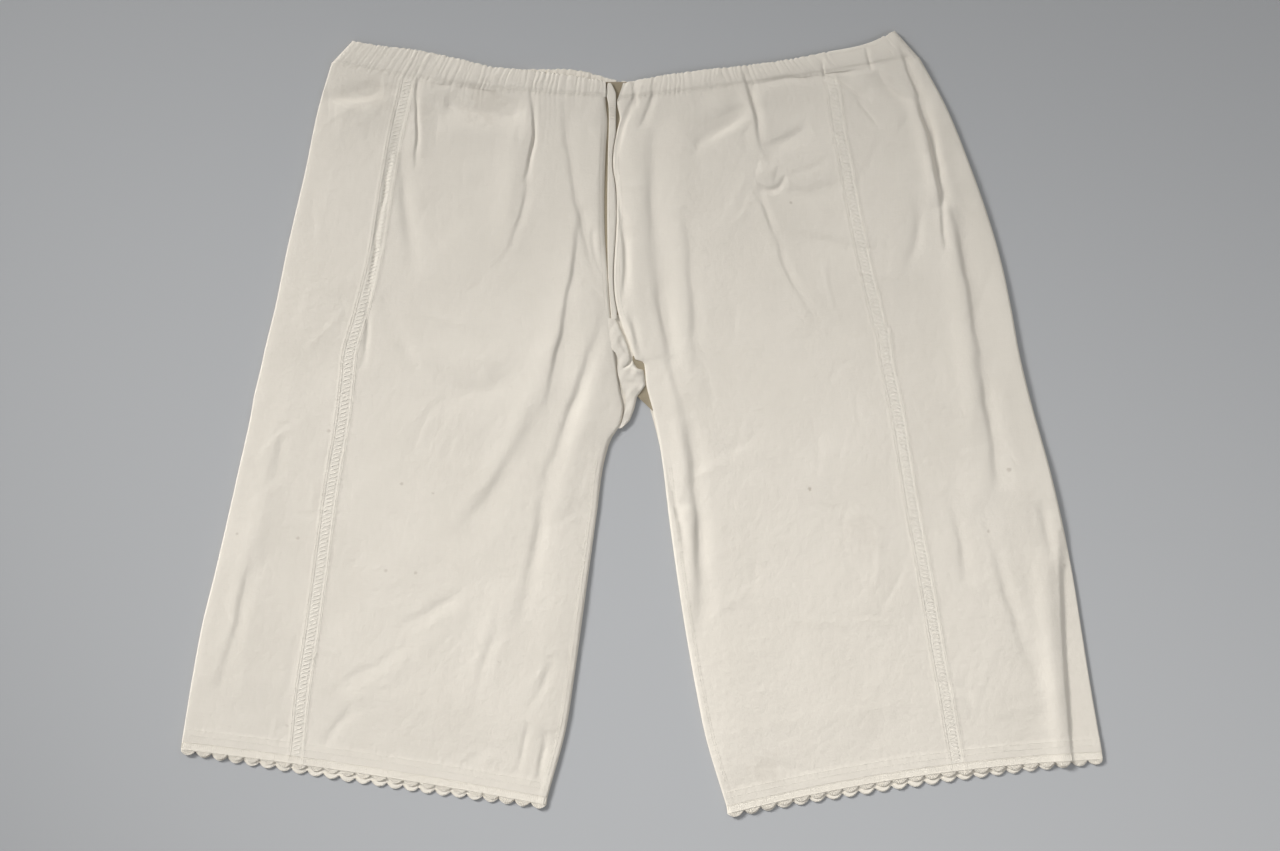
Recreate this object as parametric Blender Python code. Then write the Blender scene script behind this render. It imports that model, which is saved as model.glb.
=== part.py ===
"""White cotton drawers, open at the front and knee length, laid flat on their back.

Each leg is a front, a side insertion and a back that wraps round the side fold
and lies on the surface. Both legs hang from a gathered waist casing and end in
a scalloped edging. The wearer's right leg lies on the -X side, the waist is at
+Y and +Z points up out of the front. Lengths below are in millimetres.
"""

import math

import bmesh
import bpy
import numpy as np

MM = 0.001

# The cloth and how closely its pieces lie.
WALL = 1.0
CASING_WALL = 1.2
SEAM_GAP = 0.3
LAYER_GAP = 0.3
BACK_MID = WALL / 2
FRONT_MID = WALL + LAYER_GAP + WALL / 2

# How the front layer stands off the back layer.
LOFT = 1.4
SIDE_ROLL = 2.0
SIDE_ROLL_REACH = 14.0
CASING_LIFT = 1.6
CASING_LIFT_REACH = 16.0
FOLD_TURN = 1.5

# Sewn pieces.
INSERTION_WIDTH = 10.0
GATHERS_PER_HALF = 30
GATHER_RISE = 0.9
BACK_GATHER_RISE = 0.5
PLAIN_RUN_RISE = 0.15
CASING_FRONT_Z = 3.6
CASING_PUFF = 0.8
SCALLOPS_PER_LAYER = 23
SCALLOP_DEPTH = 8.5
EDGING_BAND = 3.5
HEM_PEEK = 5.0

# A leg from the casing seam, level 0, to the edging seam, level 1. side_x is the
# outer fold, front_x the front's inner edge (centre front, then inside leg), back_x
# the back's inner edge (centre back, then inside leg), bow how far the middle of
# the section lies towards the waist, and insertion its place across the section,
# from 0 at the inner edge to 1 at the side.
LEG_COLUMNS = ("level", "side_x", "front_x", "back_x", "bow", "insertion")
RIGHT_LEG = (
    (0.00, -279, -31, -23, -7, 0.718),
    (0.06, -290, -32, -22, -4, 0.720),
    (0.16, -303, -32, -18, 0, 0.724),
    (0.28, -320, -30, -11, 2, 0.727),
    (0.36, -330, -25, -6, 2, 0.748),
    (0.42, -339, -20, -6, 2, 0.762),
    (0.45, -343, -17, -14, 2, 0.760),
    (0.47, -346, -20, -20, 2, 0.755),
    (0.49, -349, -29, -28, 2, 0.745),
    (0.51, -351, -33, -32, 2, 0.742),
    (0.60, -363, -41, -41, 2, 0.737),
    (0.75, -384, -54, -54, 2, 0.718),
    (0.83, -396, -61, -61, 2, 0.707),
    (0.90, -404, -68, -68, 3, 0.704),
    (1.00, -414, -85, -85, 3, 0.687),
)
LEFT_LEG = (
    (0.00, 249, -20, -22, -3, 0.700),
    (0.06, 270, -23, -21, -1, 0.677),
    (0.16, 296, -23, -17, 2, 0.654),
    (0.30, 324, -22, -8, 3, 0.651),
    (0.36, 332, -8, -4, 3, 0.648),
    (0.43, 340, 8, 6, 3, 0.643),
    (0.49, 349, 16, 16, 3, 0.640),
    (0.60, 368, 25, 25, 3, 0.628),
    (0.75, 388, 39, 39, 3, 0.626),
    (0.83, 396, 48, 48, 4, 0.625),
    (0.90, 403, 57, 57, 6, 0.625),
    (1.00, 414, 76, 76, 9, 0.614),
)

# The waist's upper edge, from the centre (0) to the side tip (1) of each half.
CASING_COLUMNS = ("across", "front_y", "back_y")
RIGHT_CASING = (
    (0.00, 309, 311),
    (0.15, 314, 321),
    (0.30, 318, 322),
    (0.45, 322, 320),
    (0.60, 330, 327),
    (0.75, 337, 335),
    (0.90, 341, 339),
    (1.00, 345, 345),
)
LEFT_CASING = (
    (0.00, 307, 310),
    (0.15, 314, 310),
    (0.30, 319, 316),
    (0.45, 323, 320),
    (0.60, 328, 325),
    (0.75, 335, 332),
    (0.90, 343, 340),
    (1.00, 354, 354),
)

# Each leg with the heights of its side fold and inner edge at levels 0 and 1, the
# casing's ends, and the run of the front casing that isn't gathered.
LEGS = {
    "right": {
        "table": RIGHT_LEG,
        "casing": RIGHT_CASING,
        "side_y": (326, -285),
        "inner_y": (296, -335),
        "tip_x": -261,
        "front_end_x": -31,
        "back_end_x": -23,
        "plain_run": (0, 0),
    },
    "left": {
        "table": LEFT_LEG,
        "casing": LEFT_CASING,
        "side_y": (331, -294),
        "inner_y": (293, -343),
        "tip_x": 228,
        "front_end_x": -17,
        "back_end_x": -22,
        "plain_run": (0.75, 0.91),
    },
}

# The centre back seam, as x at the waist and at the crotch.
CENTRE_BACK = ((300, -22.5), (26, -3.5))

# The largest folds of the front layer, each a ridge (height above 0) or a trough
# along a line from x0, y0 to x1, y1 whose middle stands aside by bend.
FOLD_COLUMNS = ("x0", "y0", "x1", "y1", "bend", "height", "width")
FOLDS = (
    (-36, 300, -38, 150, 0, 3.2, 11),
    (-52, 296, -58, 140, 4, -1.4, 12),
    (-98, 300, -118, 150, -8, 3.0, 12),
    (-200, 316, -204, 240, 0, 3.0, 11),
    (-282, 296, -214, 304, -3, 2.6, 11),
    (-160, 300, -110, 282, 5, -1.4, 12),
    (-48, 190, -162, -100, 16, 3.6, 14),
    (-30, 96, -88, -98, 6, 3.2, 13),
    (-72, 196, -188, -84, 18, -1.6, 13),
    (-148, -146, -270, -240, 8, 2.6, 13),
    (-118, -140, -158, -262, 2, 2.4, 13),
    (-322, 0, -372, -226, -4, 2.6, 13),
    (-250, 130, -120, 60, -34, 2.0, 14),
    (-12, 296, -10, 60, 6, 3.6, 11),
    (10, 260, 34, 40, -5, -1.6, 11),
    (34, 284, 50, -20, -4, 3.0, 12),
    (40, 40, 58, -150, 5, -1.6, 11),
    (92, 318, 110, 240, 2, 3.4, 11),
    (108, 210, 160, 96, -6, 2.4, 12),
    (60, 296, 96, 268, 4, 2.0, 12),
    (120, 286, 170, 256, 6, -1.4, 12),
    (170, 308, 236, 274, 6, 2.4, 11),
    (250, 300, 300, -30, 10, 4.4, 12),
    (268, 210, 372, -120, 14, -2.2, 13),
    (296, -20, 350, -196, -4, 2.8, 13),
    (366, -130, 388, -300, 3, 4.0, 12),
)

# The crotch gusset's free edge, from the foot of the opening to the inside leg.
GUSSET_COLUMNS = ("y", "x")
GUSSET_EDGE = (
    (94, -23.5),
    (80, -16),
    (69, -12),
    (62, -9.5),
    (56, -8),
    (50, 1),
    (37, 4),
    (30, -1),
    (25, -4.5),
    (14, -7),
    (4, -11),
    (-3, -18),
)
GUSSET_RISE = 2.4

# The facing along the front opening, which ends in a V at the waist.
FACING_TOP_Y = 308
FACING_TOP_X = (-30.7, -25.5)
FACING_V_Y = 290
FACING_FOOT_Y = 97

COTTON = (0.73, 0.68, 0.59, 1.0)
LACE_WHITE = (0.76, 0.72, 0.64, 1.0)
CLOTH_ROUGHNESS = 0.9


def column(table, columns, name):
    """One named column of a table, as an array."""
    return np.array([row[columns.index(name)] for row in table], float)


def smooth(at, stations, values):
    """A cubic curve through the values, whose slope at each station is the mean slope around it."""
    stations = np.asarray(stations, float)
    values = np.asarray(values, float)
    slopes = np.gradient(values, stations)
    at = np.clip(at, stations.min(), stations.max())
    k = np.clip(np.searchsorted(stations, at) - 1, 0, len(stations) - 2)
    span = stations[k + 1] - stations[k]
    t = (at - stations[k]) / span
    start = (1 + 2 * t) * (1 - t) ** 2 * values[k] + t * (1 - t) ** 2 * span * slopes[k]
    end = t**2 * (3 - 2 * t) * values[k + 1] + t**2 * (t - 1) * span * slopes[k + 1]
    return start + end


def leg_value(leg, name, level):
    """A column of the leg's table at any level."""
    table = leg["table"]
    return smooth(level, column(table, LEG_COLUMNS, "level"), column(table, LEG_COLUMNS, name))


def between(ends, level):
    """A straight run from its value at level 0 to its value at level 1."""
    return ends[0] + (ends[1] - ends[0]) * level


def centre_back_x(y):
    """The x of the centre back seam at a height of the garment."""
    (top_y, top_x), (low_y, low_x) = CENTRE_BACK
    return np.where(y > low_y, top_x + (low_x - top_x) * (top_y - y) / (top_y - low_y), low_x)


def inner_edge(leg, level, layer):
    """The inner end of a section of the front or of the back layer."""
    y = between(leg["inner_y"], level)
    if layer == "front":
        return leg_value(leg, "front_x", level), y
    x = leg_value(leg, "back_x", level)
    seam = centre_back_x(y)
    if leg is LEGS["right"]:
        return np.minimum(x, seam - SEAM_GAP / 2), y
    return np.maximum(x, seam + SEAM_GAP / 2), y


def section_width(leg, level, layer="front"):
    """The length of a section from its inner edge to the side fold."""
    inner_x, inner_y = inner_edge(leg, level, layer)
    side_x = leg_value(leg, "side_x", level)
    return np.hypot(side_x - inner_x, between(leg["side_y"], level) - inner_y)


def plan(leg, level, across, layer):
    """x and y of a point of a section: a shallow arc from the inner edge (0) to the side (1)."""
    inner_x, inner_y = inner_edge(leg, level, layer)
    side_x, side_y = leg_value(leg, "side_x", level), between(leg["side_y"], level)
    arch = leg_value(leg, "bow", level) * 4 * across * (1 - across)
    x = inner_x + (side_x - inner_x) * across
    y = inner_y + (side_y - inner_y) * across + arch
    if layer == "back":
        y = y - HEM_PEEK * np.sin(np.pi * across) * np.clip(level, 0, 1) ** 4
    return x, y


def fold_height(x, y):
    """The folds' height: along each line a bell-shaped ridge or trough that fades out at both ends."""
    height = np.zeros(np.broadcast(x, y).shape)
    for x0, y0, x1, y1, bend, rise, width in FOLDS:
        length = math.hypot(x1 - x0, y1 - y0)
        along_x, along_y = (x1 - x0) / length, (y1 - y0) / length
        share = ((x - x0) * along_x + (y - y0) * along_y) / length
        inside = np.clip(4 * share * (1 - share), 0, 1)
        aside = (y - y0) * along_x - (x - x0) * along_y - bend * inside
        height += rise * inside**0.6 * np.exp(-((aside / width) ** 2))
    return height


def front_height(leg, level, across, x, y):
    """The middle of the front layer's wall.

    It lies flat on the back layer but for its loft, its folds, the roll of the side
    and the lift up to the casing.
    """
    width = section_width(leg, level)
    from_side = (1 - across) * width
    from_casing = level * abs(leg["side_y"][1] - leg["side_y"][0])
    open_share = np.clip(4 * across * (1 - across), 0, 1) ** 0.5
    loft = LOFT * open_share * np.clip(4 * level * (1.1 - level), 0, 1)
    ends = np.clip(from_casing / CASING_LIFT_REACH, 0.25, 1)
    inside = np.clip(across * width / 6, 0, 1)
    raised = loft + fold_height(x, y) * ends * inside
    lying = np.where(raised > 0.4, raised, 0.4 * np.exp(np.minimum(raised, 0.4) / 0.4 - 1))
    roll = SIDE_ROLL * np.exp(-((from_side / SIDE_ROLL_REACH) ** 2))
    lift = CASING_LIFT * np.exp(-((from_casing / CASING_LIFT_REACH) ** 2))
    return FRONT_MID + lying + roll + lift


def side_turn(leg, level):
    """The radius of the side fold: half the height between the two layers there."""
    across = 1 - FOLD_TURN / section_width(leg, level)
    x, y = plan(leg, level, across, "front")
    return (front_height(leg, level, across, x, y) - BACK_MID) / 2


def leg_surface(leg, level, across, turn):
    """The wall's middle and its outward direction.

    turn is 0 degrees on the front layer and 180 on the back layer. Between them the
    point lies on the side fold's half circle.
    """
    angle = np.radians(turn)
    width = section_width(leg, level)
    radius = side_turn(leg, level)
    on_fold = (turn > 0) & (turn < 180)
    across = np.where(on_fold, 1 - radius * (1 - np.sin(angle)) / width, across)
    front_x, front_y = plan(leg, level, across, "front")
    back_x, back_y = plan(leg, level, across, "back")
    share = (1 - np.cos(angle)) / 2
    x, y = front_x + (back_x - front_x) * share, front_y + (back_y - front_y) * share
    top = front_height(leg, level, across, front_x, front_y)
    z = (top + BACK_MID) / 2 + (top - BACK_MID) / 2 * np.cos(angle)
    inner_x, inner_y = inner_edge(leg, level, "front")
    side_x, side_y = leg_value(leg, "side_x", level), between(leg["side_y"], level)
    out_x, out_y = (side_x - inner_x) / width, (side_y - inner_y) / width
    middle = np.stack(np.broadcast_arrays(x, y, z), axis=-1)
    outward = np.stack(
        np.broadcast_arrays(np.sin(angle) * out_x, np.sin(angle) * out_y, np.cos(angle)), axis=-1
    )
    return middle, outward


def fabric(name, colour):
    """A plain matt cloth."""
    made = bpy.data.materials.new(name)
    made.use_nodes = True
    shader = made.node_tree.nodes["Principled BSDF"]
    shader.inputs["Base Color"].default_value = colour
    shader.inputs["Roughness"].default_value = CLOTH_ROUGHNESS
    shader.inputs["Metallic"].default_value = 0.0
    return made


def wall_object(name, outer, inner, colour):
    """A closed wall between two equal grids of points, faced with quads on all sides."""
    rows, columns = outer.shape[:2]
    bm = bmesh.new()
    grids = [
        [[bm.verts.new(grid[r, c] * MM) for c in range(columns)] for r in range(rows)]
        for grid in (outer, inner)
    ]
    out, back = grids
    for r in range(rows - 1):
        for c in range(columns - 1):
            bm.faces.new((out[r][c], out[r + 1][c], out[r + 1][c + 1], out[r][c + 1]))
            bm.faces.new((back[r][c], back[r][c + 1], back[r + 1][c + 1], back[r + 1][c]))
    for r in range(rows - 1):
        bm.faces.new((out[r][0], back[r][0], back[r + 1][0], out[r + 1][0]))
        bm.faces.new((out[r][-1], out[r + 1][-1], back[r + 1][-1], back[r][-1]))
    for c in range(columns - 1):
        bm.faces.new((out[0][c], out[0][c + 1], back[0][c + 1], back[0][c]))
        bm.faces.new((out[-1][c], back[-1][c], back[-1][c + 1], out[-1][c + 1]))
    bmesh.ops.recalc_face_normals(bm, faces=bm.faces)
    mesh = bpy.data.meshes.new(name)
    bm.to_mesh(mesh)
    bm.free()
    if signed_volume(mesh) < 0:
        mesh.flip_normals()
    mesh.shade_smooth()
    mesh.set_sharp_from_angle(angle=math.radians(50))
    mesh.materials.append(fabric(name, colour))
    made = bpy.data.objects.new(name, mesh)
    bpy.context.scene.collection.objects.link(made)
    return made


def signed_volume(mesh):
    """The mesh's volume, below 0 where its faces point inwards."""
    mesh.calc_loop_triangles()
    points = np.array([v.co for v in mesh.vertices])
    corners = points[np.array([t.vertices for t in mesh.loop_triangles])]
    return float(np.linalg.det(corners).sum() / 6)


def cloth_wall(name, middle, outward, colour, thickness=WALL):
    """A wall of even thickness about its middle surface."""
    reach = outward * thickness / 2
    return wall_object(name, middle + reach, middle - reach, colour)


def levels():
    """The sections of a leg, closest round the crotch."""
    top, crotch, low = np.linspace(0, 0.3, 8), np.linspace(0.3, 0.44, 5), np.linspace(0.5, 1, 12)
    return np.concatenate([top, crotch[1:], [0.455, 0.47, 0.485], low])


def trimmed_levels(leg):
    """The sections, with half a seam's gap left at the casing and at the edging."""
    height = abs(leg["side_y"][1] - leg["side_y"][0])
    rows = levels()
    rows[0] += SEAM_GAP / height
    rows[-1] -= SEAM_GAP / height
    return rows[:, None]


def insertion_edges(leg, level):
    """The two edges of the side insertion across the section."""
    width = section_width(leg, level)
    middle = leg_value(leg, "insertion", level)
    half = INSERTION_WIDTH / 2 / width
    return middle - half, middle + half


def front_panel(side, leg):
    """The front, from centre front and the inside leg to the insertion."""
    rows = trimmed_levels(leg)
    near, _ = insertion_edges(leg, rows)
    last = near - SEAM_GAP / section_width(leg, rows)
    share = np.concatenate([np.linspace(0, 0.3, 8), np.linspace(0.3, 1, 15)[1:]])
    middle, outward = leg_surface(leg, rows, last * share, np.zeros((1, len(share))))
    cloth_wall(side + "_front", middle, outward, COTTON)


def side_insertion(side, leg):
    """The narrow lace strip that joins the front to the back."""
    rows = trimmed_levels(leg)
    near, far = insertion_edges(leg, rows)
    share = np.array([0.0, 0.5, 1.0])
    middle, outward = leg_surface(leg, rows, near + (far - near) * share, np.zeros((1, len(share))))
    cloth_wall(side + "_side_insertion", middle, outward, LACE_WHITE)


def back_panel(side, leg):
    """The back, from the insertion over the side fold to centre back and the inside leg."""
    rows = trimmed_levels(leg)
    width = section_width(leg, rows)
    _, far = insertion_edges(leg, rows)
    first = far + SEAM_GAP / width
    fold_start = 1 - side_turn(leg, rows) / width
    on_front = first + (fold_start - first) * np.linspace(0, 1, 10)
    on_back = fold_start * np.linspace(1, 0, 9)
    turning = np.array([45.0, 90.0, 135.0])
    across = np.concatenate([on_front, np.ones((len(rows), len(turning))), on_back], axis=1)
    turn = np.concatenate([np.zeros(on_front.shape[1]), turning, np.full(on_back.shape[1], 180.0)])
    middle, outward = leg_surface(leg, rows, across, turn[None, :])
    cloth_wall(side + "_back", middle, outward, COTTON)


def waist_casing(side, leg):
    """The gathered casing, from centre front round the side fold to centre back."""
    table = leg["casing"]
    stations = column(table, CASING_COLUMNS, "across")
    count = 2 * GATHERS_PER_HALF
    run = np.linspace(0, 1, count + 1)
    turning = np.array([30.0, 90.0, 150.0])
    low = CASING_WALL / 2
    radius = (CASING_FRONT_Z - low) / 2
    width = abs(leg["tip_x"] - leg["front_end_x"])
    fold_start = 1 - radius / width
    across = np.concatenate([run * fold_start, np.ones(len(turning)), run[::-1] * fold_start])
    turn = np.concatenate([np.zeros(len(run)), turning, np.full(len(run), 180.0)])
    wave = np.concatenate([np.arange(len(run)) % 2, np.zeros(len(turning)), np.arange(len(run)) % 2])
    angle = np.radians(turn)
    on_fold = (turn > 0) & (turn < 180)
    across = np.where(on_fold, 1 - radius * (1 - np.sin(angle)) / width, across)
    back_share = (1 - np.cos(angle)) / 2
    top_front_x = leg["front_end_x"] + (leg["tip_x"] - leg["front_end_x"]) * across
    top_back_x = leg["back_end_x"] + (leg["tip_x"] - leg["back_end_x"]) * across
    top_front_y = smooth(across, stations, column(table, CASING_COLUMNS, "front_y"))
    top_back_y = smooth(across, stations, column(table, CASING_COLUMNS, "back_y"))
    foot_front_x, foot_front_y = plan(leg, 0.0, across, "front")
    foot_back_x, foot_back_y = plan(leg, 0.0, across, "back")
    top_x = top_front_x + (top_back_x - top_front_x) * back_share
    top_y = top_front_y + (top_back_y - top_front_y) * back_share
    foot_x = foot_front_x + (foot_back_x - foot_front_x) * back_share
    foot_y = foot_front_y + (foot_back_y - foot_front_y) * back_share
    down = np.array([0.0, 0.5, 1.0])[:, None]
    x = top_x + (foot_x - top_x) * down
    y = top_y + (foot_y - top_y) * down + SEAM_GAP / 2 * down
    puff = CASING_PUFF * np.sin(np.pi * down)
    plain_from, plain_to = leg["plain_run"]
    plain = (across > plain_from) & (across < plain_to)
    high = CASING_FRONT_Z + np.where(plain, PLAIN_RUN_RISE, GATHER_RISE) * (2 * wave - 1) + puff
    on_front, on_back = turn == 0, turn == 180
    z = np.where(on_front, high, (CASING_FRONT_Z + low) / 2 + (CASING_FRONT_Z - low) / 2 * np.cos(angle))
    middle = np.stack([x, y, np.where(on_back, low, z)], axis=-1)
    toward = 1.0 if leg is LEGS["left"] else -1.0
    outward = np.stack(
        np.broadcast_arrays(toward * np.sin(angle), 0 * angle, np.cos(angle) + 0 * x), axis=-1
    )
    reach = outward * CASING_WALL / 2
    inner = middle - reach
    inner[..., 2] += np.where(on_back, BACK_GATHER_RISE * wave, 0.0)
    wall_object(side + "_waist_casing", middle + reach, inner, COTTON)


def hem_edging(side, leg):
    """The scalloped edging, from the inside leg round the side fold and back under the front."""
    within = np.array([0.0, 0.2, 0.5, 0.8])
    depth_within = np.array([0.0, 0.8, 1.0, 0.8])
    width = float(section_width(leg, 1.0))
    radius = float(side_turn(leg, 1.0))
    straight = width - radius
    length = 2 * straight + math.pi * radius
    count = 2 * SCALLOPS_PER_LAYER
    run = np.concatenate([(np.arange(count)[:, None] + within).ravel(), [count]]) * length / count
    depth = np.concatenate([np.tile(depth_within, count), [0.0]])
    turned = np.clip((run - straight) / (math.pi * radius), 0, 1)
    turn = 180 * turned
    across = np.where(run <= straight, run / width, np.where(turned < 1, 1.0, (length - run) / width))
    seam, outward = leg_surface(leg, 1.0, across, turn)
    inner_x, inner_y = inner_edge(leg, 1.0, "front")
    out_x = (leg_value(leg, "side_x", 1.0) - inner_x) / width
    out_y = (leg["side_y"][1] - inner_y) / width
    down = np.sign(out_x) * np.array([out_y, -out_x, 0.0])
    first = seam + down * SEAM_GAP
    rim = seam + down * (EDGING_BAND + SCALLOP_DEPTH * depth)[:, None]
    middle = np.stack([first, rim])
    cloth_wall(side + "_hem_edging", middle, np.stack([outward, outward]), LACE_WHITE)


def seam_rows(leg):
    """The heights and x values where a front's inner edge has its sections, from the waist down."""
    rows = trimmed_levels(leg)[:, 0]
    return between(leg["inner_y"], rows), leg_value(leg, "front_x", rows)


def front_edge_x(leg, y):
    """The x of a front's inner edge, straight between its sections."""
    heights, edge = seam_rows(leg)
    return np.interp(-y, -heights, edge)


def rows_beside(legs, top_y, foot_y, own=()):
    """The heights from top_y down to foot_y: the piece's own, and the legs' sections between them."""
    heights = np.concatenate([seam_rows(leg)[0] for leg in legs])
    clear = np.array([np.abs(h - np.array([top_y, foot_y, *own])).min() > 1 for h in heights])
    within = heights[(heights < top_y) & (heights > foot_y) & clear]
    return np.unique(np.concatenate([[top_y, foot_y], own, within]))[::-1][:, None]


def front_facing():
    """The facing strip of the front opening, between the two fronts, cut to a V at the waist."""
    right, left = LEGS["right"], LEGS["left"]
    y = rows_beside((right, left), FACING_TOP_Y, FACING_FOOT_Y)
    in_v = np.clip((y - FACING_V_Y) / (FACING_TOP_Y - FACING_V_Y), 0, 1)
    near = front_edge_x(right, y) + SEAM_GAP
    far = front_edge_x(left, y) - SEAM_GAP
    near = near + (FACING_TOP_X[0] - near) * in_v
    far = far + (FACING_TOP_X[1] - far) * in_v
    x = near + (far - near) * np.array([0.0, 1.0])
    below_casing = np.maximum(right["inner_y"][0] - y, 0)
    z = FRONT_MID + CASING_LIFT * np.exp(-((below_casing / CASING_LIFT_REACH) ** 2))
    middle = np.stack(np.broadcast_arrays(x, y, z), axis=-1)
    cloth_wall("front_facing", middle, np.zeros_like(middle) + (0.0, 0.0, 1.0), COTTON)


def crotch_gusset():
    """The gusset set in below the front opening. Its free edge hangs in a soft fold over the backs."""
    right, left = LEGS["right"], LEGS["left"]
    top_y, foot_y = GUSSET_EDGE[0][0], GUSSET_EDGE[-1][0]
    stations = column(GUSSET_EDGE, GUSSET_COLUMNS, "y")
    y = rows_beside((right, left), top_y, foot_y, stations[1:-1])
    edge = np.interp(-y, -stations, column(GUSSET_EDGE, GUSSET_COLUMNS, "x"))
    near = front_edge_x(right, y) + SEAM_GAP
    far = np.minimum(edge, front_edge_x(left, y) - SEAM_GAP)
    share = np.array([0.0, 0.3, 0.55, 0.8, 1.0])
    x = near + (far - near) * share
    down = (top_y - y) / (top_y - foot_y)
    rise = GUSSET_RISE * np.sin(np.pi * down) ** 0.7 * np.array([0.1, 0.35, 0.9, 1.0, 0.35])
    middle = np.stack(np.broadcast_arrays(x, y, FRONT_MID + rise), axis=-1)
    cloth_wall("crotch_gusset", middle, np.zeros_like(middle) + (0.0, 0.0, 1.0), COTTON)


def clear_scene():
    for old in list(bpy.data.objects):
        bpy.data.objects.remove(old, do_unlink=True)


def main():
    clear_scene()
    for side, leg in LEGS.items():
        front_panel(side, leg)
        side_insertion(side, leg)
        back_panel(side, leg)
        waist_casing(side, leg)
        hem_edging(side, leg)
    front_facing()
    crotch_gusset()


main()
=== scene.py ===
"""White cotton drawers, open at the front and knee length, laid flat on their back.

Each leg is a front, a side insertion and a back that wraps round the side fold and
lies on the surface. Both legs hang from a gathered waist casing and end in a scalloped
needle-lace edging. The wearer's right leg lies on the -X side, the waist is at +Y and +Z points
up out of the front. Tables and functions work in millimetres, meshes in metres.
"""
import math

import bpy
import mathutils
import numpy as np
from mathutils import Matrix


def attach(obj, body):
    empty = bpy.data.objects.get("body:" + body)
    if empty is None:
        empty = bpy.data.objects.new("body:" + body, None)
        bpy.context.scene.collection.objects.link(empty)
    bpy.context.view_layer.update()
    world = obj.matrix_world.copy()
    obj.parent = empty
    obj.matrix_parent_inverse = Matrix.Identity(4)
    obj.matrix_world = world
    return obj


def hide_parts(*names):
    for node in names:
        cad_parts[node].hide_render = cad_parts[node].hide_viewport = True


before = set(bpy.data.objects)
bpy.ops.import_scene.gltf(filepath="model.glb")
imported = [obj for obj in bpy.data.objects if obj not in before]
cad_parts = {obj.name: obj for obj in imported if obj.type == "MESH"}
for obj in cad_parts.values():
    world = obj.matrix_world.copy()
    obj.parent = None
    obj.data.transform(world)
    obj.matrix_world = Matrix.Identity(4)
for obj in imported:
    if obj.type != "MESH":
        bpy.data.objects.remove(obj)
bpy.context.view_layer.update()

MM = 0.001

# Right and left back: one width of plain cotton each, felled at centre back and the inside leg.
# It starts at the side insertion, turns round the side fold and lies on the surface as far as
# those seams. All panels of a leg share the leg's sections and the height of its front.

# A leg from the casing seam, level 0, to the edging seam, level 1. side_x is the outer
# fold, front_x and back_x the two layers' inner edges, bow how far the middle of the
# section lies towards the waist, and insertion its place from the inner edge to the side.
LEG_COLUMNS = ("level", "side_x", "front_x", "back_x", "bow", "insertion")
RIGHT_LEG = (
    (0.00, -279, -31, -23, -7, 0.718),
    (0.06, -290, -32, -22, -4, 0.720),
    (0.16, -303, -32, -18, 0, 0.724),
    (0.28, -320, -30, -11, 2, 0.727),
    (0.36, -330, -25, -6, 2, 0.748),
    (0.42, -339, -20, -6, 2, 0.762),
    (0.45, -343, -17, -14, 2, 0.760),
    (0.47, -346, -20, -20, 2, 0.755),
    (0.49, -349, -29, -28, 2, 0.745),
    (0.51, -351, -33, -32, 2, 0.742),
    (0.60, -363, -41, -41, 2, 0.737),
    (0.75, -384, -54, -54, 2, 0.718),
    (0.83, -396, -61, -61, 2, 0.707),
    (0.90, -404, -68, -68, 3, 0.704),
    (1.00, -414, -85, -85, 3, 0.687),
)
LEFT_LEG = (
    (0.00, 249, -20, -22, -3, 0.700),
    (0.06, 270, -23, -21, -1, 0.677),
    (0.16, 296, -23, -17, 2, 0.654),
    (0.30, 324, -22, -8, 3, 0.651),
    (0.36, 332, -8, -4, 3, 0.648),
    (0.43, 340, 8, 6, 3, 0.643),
    (0.49, 349, 16, 16, 3, 0.640),
    (0.60, 368, 25, 25, 3, 0.628),
    (0.75, 388, 39, 39, 3, 0.626),
    (0.83, 396, 48, 48, 4, 0.625),
    (0.90, 403, 57, 57, 6, 0.625),
    (1.00, 414, 76, 76, 9, 0.614),
)

# The waist's upper edge, from the centre (0) to the side tip (1) of each half.
CASING_COLUMNS = ("across", "front_y", "back_y")
RIGHT_CASING = (
    (0.00, 309, 309.5),
    (0.15, 314.6, 319),
    (0.30, 318.4, 319.8),
    (0.45, 322, 320),
    (0.60, 330, 327),
    (0.75, 337, 335),
    (0.90, 341, 339),
    (1.00, 345, 345),
)
LEFT_CASING = (
    (0.00, 307, 308.5),
    (0.15, 314, 310),
    (0.30, 319, 316),
    (0.45, 323, 320),
    (0.60, 328, 325),
    (0.75, 335, 332),
    (0.90, 343, 340),
    (1.00, 354, 354),
)

# How far each front's edge sways from its table along the opening.
SWAY_COLUMNS = ("y", "aside")
RIGHT_SWAY = (
    (300, -1.8), (288, -1.3), (277, 0.2), (247, -0.6), (211, -1.8), (180, -2.0), (130, 0), (90, 0),
)
LEFT_SWAY = (
    (300, -1), (290, -2.5), (276, 1.5), (263, -0.4), (247, -2.5), (230, -2.6), (216, -0.4), (190, 0), (90, 0),
)
CENTRE_BACK = ((300, -22.5), (26, -3.5))
HEM_PEEK = 5.0
HALF_GAP = 0.15
INSERTION_WIDTH = 10.0

CLOTH = 0.6
FRONT_BASE = 2.1
EDGE_LOW = 1.35
EDGE_ROLL = 2.6
LOFT = 2.2
SIDE_ROLL_REACH = 14.0
CASING_LIFT = 1.6
CASING_LIFT_REACH = 16.0
FOLD_TURN = 1.5
GATHERS = 58
GATHER_RISE = 0.22
GATHER_RUN = (7.0, 37.0)
PLAIN_HEIGHT = 0.75
LOFT_REACH = 60.0
# Below this height over the back layer the front eases down to it and never goes through it.
LYING = 0.4
# What all the cloth has besides: uneven heights, each with the size of its patches.
UNEVEN = ((0.5, 80), (0.2, 32), (0.08, 13))
# How wide the edges turned in at the hem, the inside leg and the insertion lie, and what they add.
HEM_TURN, FELL_TURN, BRAID_TURN = (12.5, 0.28), (6.8, 0.22), (3.2, 0.2)
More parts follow.
